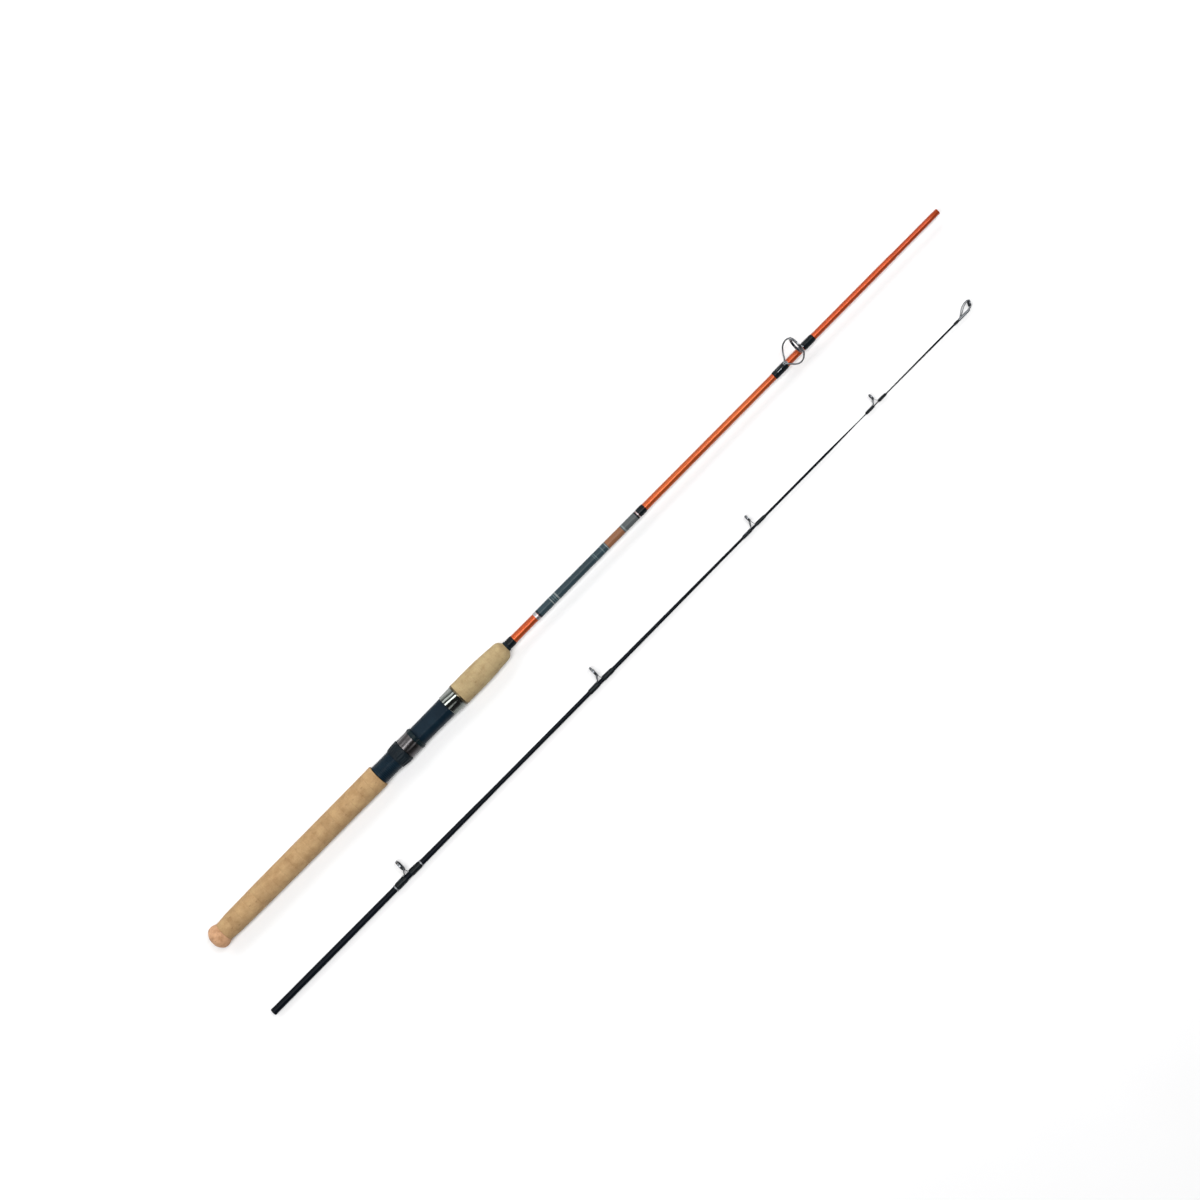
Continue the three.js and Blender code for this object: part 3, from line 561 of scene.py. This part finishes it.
def seat_body():
    outline = BUTT.outline("reel_seat_body")
    start, end = outline[0][0], outline[-1][0]
    full = [(start, SEAT_RADIUS), (SEAT_FLARE[0], SEAT_RADIUS), (SEAT_FLARE[1], SEAT_FRONT),
            (end, SEAT_FRONT)]
    count = int((THREAD_RUN[1] - THREAD_RUN[0]) / THREAD_PITCH * THREAD_STEPS)
    stations = [start, start + 0.4, THREAD_RUN[0] - 0.3]
    stations += [THREAD_RUN[0] + THREAD_PITCH * k / THREAD_STEPS for k in range(count + 1)]
    stations += [THREAD_RUN[1] + 0.5 + k * (end - THREAD_RUN[1] - 1.0) / 24 for k in range(25)]
    stations.append(end)

    def radius(x, angle):
        r = radius_at(full, x)
        if THREAD_RUN[0] <= x <= THREAD_RUN[1]:
            fade = eased((x - THREAD_RUN[0]) / 2.0) * eased((THREAD_RUN[1] - x) / 2.0)
            phase = (x / THREAD_PITCH - angle / math.tau) % 1.0
            r -= THREAD_DEPTH * fade * eased(abs(phase - 0.5) * 3.2 - 0.3)
        share = eased((x - LAND_START + LAND_EASE) / LAND_EASE)
        if share > 0 and math.cos(angle) > 0.5:
            flat = LAND_HEIGHT / math.cos(angle)
            cut = -larger(-r, -flat, 0.12)
            r += (min(r, cut) - r) * share
        return r - 0.35 * (x == start or x == end)

    def profile(angle):
        outside = [(x, radius(x, angle)) for x in stations]
        return [*outside, (end, SEAT_BORE), (start, SEAT_BORE)]

    build("seat_barrel", [revolve(profile, 120)], "seat_graphite", BUTT, ["reel_seat_body"])


def hood_nut():
    """Nut with finger flutes and a flared front rim."""
    start, end = BUTT.span("hood_nut")
    bore = 11.65
    flutes, flute_depth = 20, 0.55
    outside = [
        (start, 12.15), (start + 0.5, 12.45), (start + 1.6, 12.55), (start + 2.3, 12.7),
        (start + 4.6, 13.1), (start + 8.0, 13.35), (start + 10.8, 13.55), (start + 11.6, 13.35),
        (start + 12.2, 13.35), (start + 12.9, 13.6), (end - 0.9, 13.6), (end - 0.3, 13.45), (end, 13.1),
    ]

    def profile(angle):
        wave = 0.5 - 0.5 * math.cos(flutes * angle)
        cut = flute_depth * wave ** 2
        found = []
        for x, r in outside:
            depth = eased((x - start - 1.8) / 1.8) * eased((start + 11.4 - x) / 1.2)
            found.append((x, r - cut * depth))
        return [*found, (end, bore + 0.3), (end - 0.4, bore), (start + 0.4, bore), (start, bore + 0.3)]

    dense = []
    for (x0, r0), (x1, r1) in zip(outside, outside[1:]):
        parts = max(1, round((x1 - x0) / 0.7))
        dense += [(x0 + (x1 - x0) * k / parts, r0 + (r1 - r0) * k / parts) for k in range(parts)]
    outside = [*dense, outside[-1]]
    build("hood_nut_fluted", [revolve(profile, 160)], "nut_black", BUTT, ["hood_nut"], "hood_nut")


def hood_shell(outside, bore, mouth_x, wall_x, rise, corner=0.22):
    """Ring of outline outside with an arched pocket, open at mouth_x and closed at wall_x.
    rise(x) is the share of the arch's full height at x."""
    end_x = outside[-1][0]
    start_x = outside[0][0]

    def out_reach(x, r, angle):
        top = POCKET_BASE + (POCKET_TOP + POCKET_WALL - POCKET_BASE) * rise(x)
        arch = arch_reach(angle, POCKET_HALF + POCKET_WALL, top)
        return larger(r, arch, POCKET_FILLET) - POCKET_SINK

    def in_reach(x, angle):
        top = POCKET_BASE_INSIDE + (POCKET_TOP - POCKET_BASE_INSIDE) * rise(x)
        return max(bore, arch_reach(angle, POCKET_HALF, top))

    def profile(angle):
        shell = [(x, out_reach(x, r, angle)) for x, r in outside]
        if wall_x is None:
            inner = [(end_x, in_reach(end_x, angle)), (start_x, in_reach(start_x, angle))]
        elif mouth_x == end_x:
            inner = [(end_x, in_reach(end_x, angle)), (wall_x, in_reach(wall_x, angle)),
                     (wall_x, bore), (start_x, bore)]
        else:
            inner = [(end_x, bore), (wall_x, bore), (wall_x, in_reach(wall_x, angle)),
                     (start_x, in_reach(start_x, angle))]
        return rounded([*shell, *inner], corner, 2)

    return revolve(profile, 144)


def movable_hood():
    start, end = BUTT.span("movable_hood_band")
    lip_start, lip_end = BUTT.span("movable_hood_lip")

    def rise(x):
        return 0.62 + 0.38 * eased((x - start) / (lip_end - start))

    band = [
        (start, 12.4), (start + 0.5, 12.9), (start + 1.5, 12.9), (start + 2.0, 12.6),
        (start + 5.0, 12.54), (start + 8.6, 12.54), (end - 1.9, 12.62), (end - 1.5, 12.4),
        (end - 1.1, 12.7), (end, 12.75),
    ]
    build("hood_band_steel", [hood_shell(band, RUNNING_BORE, end, start + 2.2, rise)],
          "stainless_band", BUTT, ["movable_hood_band"], "movable_hood")
    lip = [(end + 0.05, 12.9), (lip_start + 0.9, 13.3), (lip_start + 2.2, 13.35),
           (lip_start + 3.0, 13.2), (lip_end - 1.6, 12.75), (lip_end, 12.0)]
    build("hood_lip_black", [hood_shell(lip, RUNNING_BORE, lip_end, None, rise, 0.35)],
          "lip_black", BUTT, ["movable_hood_lip"], "movable_hood")


def fixed_hood():
    start, end = BUTT.span("fixed_hood")

    def rise(x):
        return 1.0 - 0.42 * eased((x - start - 3.0) / (end - start - 3.0))

    outside = [
        (start, 12.55), (start + 0.4, 12.95), (start + 1.4, 13.0), (start + 2.0, 12.8),
        (start + 5.0, 12.85), (start + 11.0, 12.95), (end - 3.2, 13.05), (end - 2.8, 12.8),
        (end - 2.3, 13.1), (end - 0.5, 13.3), (end, 13.0),
    ]
    build("hood_fixed_chrome", [hood_shell(outside, FIXED_BORE, start, end - 2.2, rise)],
          "chrome_hood", BUTT, ["fixed_hood"])


# Blanks and trim ----------------------------------------------------


def blank(name, node, slot, section, bore):
    """Tapering tube with its front edge rounded off."""
    outline = [(x, r) for x, r in section.outline(node) if r > bore]
    first, last = outline[0][0], outline[-1][0]
    stations = sorted({first, last, *[x for x, r in outline if x > first],
                       *[first + (last - first) * k / 60 for k in range(61)]})
    outer = [(x, radius_at(outline, x)) for x in stations]
    outer[-1] = (last, outer[-1][1] - 0.25)
    outer.insert(-1, (last - 0.35, radius_at(outline, last)))
    inner = [(last, bore + 0.15), (last - 0.2, bore), (first, bore)]
    build(name, [revolve([*outer, *inner], 48)], slot, section, [node])


COLLAR_WALL = 1.1
GROOVE = (0.18, 0.22)  # half width and depth of a turned groove


def collar(name, node, slot, section, grooves=0, bead=0.25, under=0.0, look=None):
    """Band, film or collar on a blank, following its taper."""
    start, end = section.span(node)
    outline = section.outline(node)
    r0, r1 = outline[0][1], outline[-1][1]
    outside = [(start, r0 - bead), (start + bead, r0)]
    for k in range(grooves):
        x = start + (end - start) * (k + 1) / (grooves + 1)
        r = r0 + (r1 - r0) * (x - start) / (end - start)
        outside += [(x - GROOVE[0], r), (x, r - GROOVE[1]), (x + GROOVE[0], r)]
    outside += [(end - bead, r1), (end, r1 - bead)]
    inner = [(end, r1 - COLLAR_WALL - under), (start, r0 - COLLAR_WALL - under)]
    build(name, [revolve([*outside, *inner], 64)], slot, section, [node], look=look)


def winding_check():
    """Collar against the cork, with a thin skirt that the wrap in front of it runs onto."""
    start, end = BUTT.span("winding_check")
    top, skirt = 6.0, radius_at(BUTT.outline("butt_blank"), end) + 0.35
    outside = [(start - 0.2, top - 0.5), (start + 0.3, top), (end - 0.5, top), (end, top - 0.3),
               (end + 0.1, skirt), (end + 1.8, skirt - 0.2), (end + 1.8, skirt - 0.8),
               (start - 0.2, skirt - 0.8)]
    build("winding_check_collar", [revolve(rounded(outside, 0.12, 2), 64)], "nut_black", BUTT,
          ["winding_check"])


def epoxy_wrap(name, node, section, blank_outline, ridge=None, foot=None, sides=72, thick=0.56):
    """Thread wrap under epoxy that runs out thin at both ends. ridge is the foot's height under
    it at its rear and front end, foot the half width that it covers, thick the wrap's own."""
    start, end = section.span(node)
    run_out = min(2.2, (end - start) / 4)
    count = 22
    shares = [0.5 - 0.5 * math.cos(math.pi * k / count) for k in range(count + 1)]
    stations = [start + (end - start) * share for share in shares]

    def radius(x, angle):
        body = radius_at(blank_outline, x)
        swell = math.sin(math.pi / 2 * min(1.0, (x - start) / run_out, (end - x) / run_out))
        r = body + 0.02 + (thick - 0.02) * swell ** 0.8
        if ridge and math.cos(angle) > 0:
            share = (x - start) / (end - start)
            height = ridge[0] + (ridge[1] - ridge[0]) * share
            off_side = body * math.sin(angle) / foot
            r += height * swell * math.exp(-off_side * off_side)
        return r

    def profile(angle):
        outside = [(x, radius(x, angle)) for x in stations]
        bore = radius_at(blank_outline, start) - 0.6
        return [*outside, (end, radius_at(blank_outline, end) - 0.6), (start, bore)]

    build(name, [revolve(profile, sides)], "thread_wrap", section, [node])


def bright_band(name, slot, section, blank_outline, x, width):
    """Narrow bright band wound at the end of a wrap."""
    r = radius_at(blank_outline, x) + 0.3
    outside = [(x, r - 0.18), (x + 0.15, r), (x + width - 0.15, r), (x + width, r - 0.18)]
    build(name, [revolve([*outside, (x + width, r - 1.0), (x, r - 1.0)], 56)], slot, section)


# Guides --------------------------------------------------------------


def ring_matrix(centre, lean_deg):
    return Matrix.Translation(centre) @ Matrix.Rotation(math.radians(lean_deg), 4, "Y")


ROLLED_LIP = 0.12
RIM_HOLLOW = 0.14  # depth of the groove between a rim's two lips
BEAD_SIDES = 20


def guide_rings(radius, wall, band, ceramic_width, sides):
    """Metal rim with rolled lips, and the ceramic ring pressed into it."""
    half = band / 2
    rim = [
        (-half, radius - wall), (-half - ROLLED_LIP, radius - wall * 0.3), (-half, radius),
        (-half * 0.5, radius - RIM_HOLLOW), (half * 0.5, radius - RIM_HOLLOW), (half, radius),
        (half + ROLLED_LIP, radius - wall * 0.3), (half, radius - wall),
    ]
    metal_rim = revolve(rounded(rim, 0.2, 3), sides)
    outside = radius - wall
    thick = radius * 0.18 + 0.12
    wide = ceramic_width / 2
    bead = []
    for k in range(BEAD_SIDES):
        c, s = math.cos(math.tau * k / BEAD_SIDES), math.sin(math.tau * k / BEAD_SIDES)
        across = math.copysign(abs(c) ** 0.8, c) * wide
        up = math.copysign(abs(s) ** 0.9, s) * thick / 2
        bead.append((across, outside - thick / 2 + up))
    ceramic = revolve(bead, sides)
    return metal_rim, ceramic


def round_bar(points, radius, steps, sides):
    """Wire through the points."""
    return sweep(curve_through(points, steps), lambda t: (radius, radius), sides)


def foot_bar(points, width, thick, point_end):
    """Flat foot, tapering to a thin point at its first (0) or last (1) end."""

    def size(t):
        away = t if point_end == 0 else 1 - t
        grow = eased(away / 0.45)
        return (0.35 + 0.65 * grow) * width / 2, (0.25 + 0.75 * grow) * thick / 2

    return sweep(curve_through(points, 6), size, 16, 3.2)


BUTT_OUTLINE = BUTT.outline("butt_blank")
TIP_OUTLINE = [(x, r) for x, r in TIP.outline("tip_blank") if r > 0.7]
WIRE_LIFT = 0.12  # gap between a wire and the blank that it lies on
FOOT_LIFT = 0.12 + 0.4  # middle of a foot over the blank's surface


def stripper_guide():
    name = "stripper_guide"
    rear, front = BUTT.span(f"{name}_rear_wrap"), BUTT.span(f"{name}_front_wrap")
    centre = BUTT.ring_centre(f"{name}_ceramic")
    centre.y = 0.0
    radius, wall, wire, lean = 10.3, 0.9, 0.9, 7.0
    at = ring_matrix(centre, lean)
    rim, ceramic = guide_rings(radius, wall, 1.9, 2.6, 96)
    x, h = centre.x, centre.z
    rear_z = radius_at(BUTT_OUTLINE, rear[0]) + FOOT_LIFT
    front_z = radius_at(BUTT_OUTLINE, front[0]) + FOOT_LIFT
    low = radius_at(BUTT_OUTLINE, rear[1]) + WIRE_LIFT + wire
    shells = [moved(rim, at)]
    for side in (-1, 1):
        shells.append(round_bar([
            (rear[1] - 3.0, side * 0.8, low - 0.1), (rear[1] - 0.4, side * 1.3, low),
            (x - 17.2, side * 4.4, low), (x - 13.4, side * 9.8, 6.0), (x - 9.5, side * 13.6, 9.4),
            (x - 5.6, side * 14.6, 13.2), (x - 2.2, side * 13.6, 17.2), (x + 0.6, side * 11.1, 20.4),
            (x + 1.0, side * 9.9, 22.6), (x + 1.1, side * 9.2, 23.8),
        ], wire, 8, 16))
    shells.append(foot_bar([
        (rear[0] + 1, 0, rear_z - 0.1), (rear[0] + 8, 0, rear_z), (rear[1] + 2.2, 0, rear_z),
    ], 3.2, 0.8, 0))
    shells.append(foot_bar([
        (x - 1.2, 0, h - radius + 0.35), (x + 1.4, 0, h - radius - 2.2), (x + 3.4, 0, front_z + 0.9),
        (front[0] + 0.6, 0, front_z), (front[0] + 8, 0, front_z), (front[1] - 1, 0, front_z - 0.1),
    ], 3.0, 0.8, 1))
    build(f"{name}_frame_wire", shells, "guide_metal", BUTT, [f"{name}_frame"])
    build(f"{name}_ring_ceramic", [moved(ceramic, at)], "ceramic", BUTT, [f"{name}_ceramic"])
    epoxy_wrap(f"{name}_wrap_rear", f"{name}_rear_wrap", BUTT, BUTT_OUTLINE, (0.35, 0.8), 2.0)
    epoxy_wrap(f"{name}_wrap_front", f"{name}_front_wrap", BUTT, BUTT_OUTLINE, (0.8, 0.3), 2.0)
    bright_band(f"{name}_trim_rear", "gold_trim", BUTT, BUTT_OUTLINE, rear[1] - 0.1, 0.9)


# ring radius, wall, wire radius, foot width, ring width and foot thickness of each tip guide
TIP_GUIDES = {
    "guide_1": (7.0, 0.65, 0.6, 2.2, 2.3, 0.8), "guide_2": (6.75, 0.75, 0.55, 1.9, 2.0, 0.7),
    "guide_3": (4.5, 0.6, 0.5, 1.6, 1.7, 0.55), "guide_4": (3.9, 0.5, 0.45, 1.4, 1.5, 0.45),
}


def tip_guide(name, radius, wall, wire, width, band, thick):
    rear, front = TIP.span(f"{name}_rear_wrap"), TIP.span(f"{name}_front_wrap")
    centre = TIP.ring_centre(f"{name}_ceramic")
    centre.y = 0.0
    x, h = centre.x, centre.z
    at = ring_matrix(centre, 0.0)
    rim, ceramic = guide_rings(radius, wall, band, band + 0.7, 64)
    rear_z = radius_at(TIP_OUTLINE, rear[0]) + FOOT_LIFT
    front_z = radius_at(TIP_OUTLINE, front[0]) + FOOT_LIFT
    low = radius_at(TIP_OUTLINE, rear[1]) + WIRE_LIFT + wire
    joint = radius * 0.72
    shells = [moved(rim, at)]
    for side in (-1, 1):
        shells.append(round_bar([
            (rear[1] - 1.2, side * 0.35, low - 0.1), (rear[1] + 0.8, side * 0.55, low),
            (x - 2.4, side * joint * 0.75, (low + h - joint) / 2), (x - 0.3, side * joint, h - joint),
            (x, side * joint * 1.2, h - joint * 0.72),
        ], wire, 6, 12))
    shells.append(foot_bar([
        (rear[0] + 1, 0, rear_z - 0.1), (rear[0] + 6, 0, rear_z), (rear[1] + 1.2, 0, rear_z),
    ], width, thick, 0))
    shells.append(foot_bar([
        (x, 0, h - radius + 0.3), (x + 0.5, 0, h - radius - 0.6), (front[0] - 0.2, 0, front_z + 0.25),
        (front[0] + 1.2, 0, front_z), (front[0] + 6, 0, front_z), (front[1] - 1, 0, front_z - 0.1),
    ], width, thick, 1))
    build(f"{name}_frame_wire", shells, "guide_metal", TIP, [f"{name}_frame"])
    build(f"{name}_ring_ceramic", [moved(ceramic, at)], "ceramic", TIP, [f"{name}_ceramic"])
    high, low, epoxy = thick * 0.95, thick * 0.35, 0.2 + 0.45 * thick
    for end, ridge in (("rear", (low, high)), ("front", (high, low))):
        epoxy_wrap(f"{name}_wrap_{end}", f"{name}_{end}_wrap", TIP, TIP_OUTLINE, ridge,
                   width * 0.6, 56, epoxy)


TIP_TUBE = 16.8  # length of the tip-top's tube


def tip_top():
    start = TIP.span("tip_top_frame")[0]
    centre = TIP.ring_centre("tip_top_ceramic")
    centre.y = 0.0
    tube_start, tube_end = start, start + TIP_TUBE
    ring_x, radius, wall, wire = centre.x, 4.37, 0.5, 0.5
    at = ring_matrix(centre, 32.0)
    rim, ceramic = guide_rings(radius, wall, 1.5, 2.2, 64)
    barrel = revolve(rounded([
        (tube_start, 1.0), (tube_start, 1.5), (tube_start + 0.8, 1.62), (tube_start + 1.6, 1.5),
        (tube_end - 3.0, 1.45), (tube_end - 0.8, 1.3), (tube_end, 0.7), (tube_end + 0.1, 0.0),
    ], 0.25, 3, closed=False), 32, closed=False)
    closed_rear = revolve([(tube_start, 1.0), (tube_start + 0.2, 0.0)], 32, closed=False)
    shells = [barrel, closed_rear, moved(rim, at)]
    for side in (-1, 1):
        shells.append(round_bar([
            (tube_start + 3.0, side * 1.0, 0.9), (tube_start + 5.6, side * 1.8, 2.4),
            (tube_start + 9.6, side * 2.9, 5.1), (tube_start + 13.8, side * 3.1, 7.5),
            (tube_start + 18.2, side * 2.8, 8.5), (tube_start + 22.0, side * 2.1, 8.75),
        ], wire, 7, 12))
    saddle = [(tube_end - 4.0, 0, 0.9), (tube_end - 0.5, 0, 1.0), (ring_x - 1.8, 0, 1.25)]
    shells.append(foot_bar(saddle, 1.9, 1.5, 0))
    build("tip_top_frame_wire", shells, "guide_metal", TIP, ["tip_top_frame"])
    build("tip_top_ring_ceramic", [moved(ceramic, at)], "ceramic", TIP, ["tip_top_ceramic"])


def butt_section():
    butt_cap()
    rear_nodes = sorted(n for n in frame["nodes"] if n.startswith("rear_grip_cork_"))
    fore_nodes = sorted(n for n in frame["nodes"] if n.startswith("fore_grip_cork_"))
    for node in [*rear_nodes, *fore_nodes]:
        cork_discs(node, node.replace("_cork_", "_discs_"), 2)
    seat_body()
    hood_nut()
    movable_hood()
    fixed_hood()
    collar("seat_trim_rim", "seat_trim_ring", "gold_trim", BUTT, 1, 0.3, 7.0)
    blank("butt_blank_lacquered", "butt_blank", "orange_blank", BUTT, 2.6)
    winding_check()
    epoxy_wrap("grip_wrap_thread", "grip_wrap", BUTT, BUTT_OUTLINE)
    collar("label_band_rear", "label_trim_rear", "silver_trim", BUTT, 1, 0.15)
    collar("label_film", "label_sleeve", "label_film", BUTT, 0, 0.12)
    collar("label_band_front", "label_trim_front", "silver_trim", BUTT, 0, 0.15)
    epoxy_wrap("trim_wrap_thread", "trim_wrap", BUTT, BUTT_OUTLINE)
    stripper_guide()


def tip_section():
    start, end = TIP.span("ferrule_socket")
    bore = 3.56
    socket = [(start, bore + 0.2), (start, 3.95), (start + 0.3, 4.2), (start + 1.7, 4.18),
              (start + 2.4, 3.95), (start + 10, 3.95), (end + 0.1, 3.85), (end + 0.1, bore),
              (start + 0.4, bore)]
    build("socket_lacquered", [revolve(rounded(socket, 0.1, 2), 56)], "dark_blank", TIP,
          ["ferrule_socket"])
    blank("tip_blank_lacquered", "tip_blank", "dark_blank", TIP, 0.3)
    for name, sizes in TIP_GUIDES.items():
        tip_guide(name, *sizes)
    collar("guide_1_band_rear", "guide_1_trim_rear", "silver_trim", TIP, 0, 0.12, look="dull_silver")
    collar("guide_1_band_front", "guide_1_trim_front", "silver_trim", TIP, 0, 0.12, look="dull_silver")
    epoxy_wrap("tip_top_wrap_thread", "tip_top_wrap", TIP, TIP_OUTLINE, sides=40)
    tip_top()


butt_section()
tip_section()

# CAD nodes that still show keep their shape and get a detailed finish
for row in frame["record"]["subparts"]:
    node = frame["nodes"][row["node"]]
    if not node.hide_render:
        node.data.materials.clear()
        node.data.materials.append(LOOKS[row["material_slot"]])

# ------------------------------------------------------------------ floor, light and camera

FLOOR_SIZE = 80.0
GLOW_SPAN = (1.6, 5.0)  # metres from the rod between which the floor fades into the walls
FLOOR_GLOW = 0.36
VIEW_SPAN = 1.293  # metres of the layout that the picture's width covers
CAMERA_HEIGHT = 2.5
CAMERA_TURN = math.radians(-45.28)
CAMERA_AIM = (0.00575, 0.00575)
ROD_HEIGHT = 0.0137
LAMP_LENGTH = 5.0
OVERHEAD = {"place": (0, 0.2, 3.5), "width": 1.2, "power": 144}
KEY = {"place": (0, 3.0, 2.6), "width": 1.6, "power": 62}
# Brightness of the studio walls by the height looked at (0 level, 1 overhead), on the two sides
LIT_SIDE = [(0.0, 0.55), (0.30, 0.42), (0.60, 0.26), (1.0, 0.08)]
DARK_SIDE = [(0.0, 0.50), (0.12, 0.35), (0.30, 0.06), (1.0, 0.05)]


def floor():
    look = Look("pale_floor", Specular_IOR_Level=0.0)
    tone = look.ramp(look.noise(3.0, 3.0), [(0.3, 0.90), (0.7, 0.93)])
    away = look.add("ShaderNodeVectorMath", {"operation": "LENGTH"})
    look.set(away, {0: look.place})
    glow = look.add("ShaderNodeMapRange", {"interpolation_type": "SMOOTHSTEP"},
                    Value=away.outputs["Value"], From_Min=GLOW_SPAN[0],
                    From_Max=GLOW_SPAN[1], To_Max=FLOOR_GLOW)
    surface = look.finish(Base_Color=tone, Roughness=0.8, Emission_Color=(1, 1, 1, 1),
                          Emission_Strength=glow.outputs[0])
    half = FLOOR_SIZE / 2
    corners = [(-half, -half, 0), (half, -half, 0), (half, half, 0), (-half, half, 0)]
    mesh = bpy.data.meshes.new("floor")
    mesh.from_pydata(corners, [], [(0, 1, 2, 3)])
    mesh.materials.append(surface)
    plane = bpy.data.objects.new("floor", mesh)
    bpy.context.scene.collection.objects.link(plane)


def softbox(name, place, width, power):
    """Long soft lamp beside the rod, turned towards it."""
    data = bpy.data.lights.new(name, "AREA")
    data.shape = "RECTANGLE"
    data.size, data.size_y = LAMP_LENGTH, width
    data.energy = power
    lamp = bpy.data.objects.new(name, data)
    lamp.location = place
    lamp.rotation_euler = (-math.atan2(place[1], place[2]), 0, 0)
    lamp.visible_camera = False
    bpy.context.scene.collection.objects.link(lamp)


def studio_walls():
    """Pale level with the rod and darker overhead, one side darker than the other, so that
    polished metal has something to mirror."""
    world = bpy.data.worlds.new("studio")
    bpy.context.scene.world = world
    world.use_nodes = True
    tree = world.node_tree
    place = tree.nodes.new("ShaderNodeTexCoord").outputs["Generated"]
    split = tree.nodes.new("ShaderNodeSeparateXYZ")
    tree.links.new(place, split.inputs[0])
    colours = []
    for stops in (DARK_SIDE, LIT_SIDE):
        node = tree.nodes.new("ShaderNodeValToRGB")
        while len(node.color_ramp.elements) < len(stops):
            node.color_ramp.elements.new(1.0)
        for element, (position, level) in zip(node.color_ramp.elements, stops):
            element.position = position
        for element, (position, level) in zip(node.color_ramp.elements, stops):
            element.color = (level, level, level * 1.02, 1)
        tree.links.new(split.outputs[2], node.inputs["Fac"])
        colours.append(node.outputs["Color"])
    side = tree.nodes.new("ShaderNodeMapRange")
    side.inputs["From Min"].default_value = -0.25
    side.inputs["From Max"].default_value = 0.25
    tree.links.new(split.outputs[1], side.inputs["Value"])
    blend = tree.nodes.new("ShaderNodeMix")
    blend.data_type = "RGBA"
    tree.links.new(side.outputs[0], blend.inputs[0])
    tree.links.new(colours[0], blend.inputs[6])
    tree.links.new(colours[1], blend.inputs[7])
    tree.links.new(blend.outputs[2], tree.nodes["Background"].inputs["Color"])


def camera():
    data = bpy.data.cameras.new("camera")
    data.lens = data.sensor_width * CAMERA_HEIGHT / VIEW_SPAN
    eye = bpy.data.objects.new("camera", data)
    eye.location = (*CAMERA_AIM, ROD_HEIGHT + CAMERA_HEIGHT)
    eye.rotation_euler = (0, 0, CAMERA_TURN)
    bpy.context.scene.collection.objects.link(eye)
    bpy.context.scene.camera = eye


floor()
softbox("overhead", **OVERHEAD)
softbox("key", **KEY)
studio_walls()
camera()
bpy.context.scene.view_settings.view_transform = "Standard"
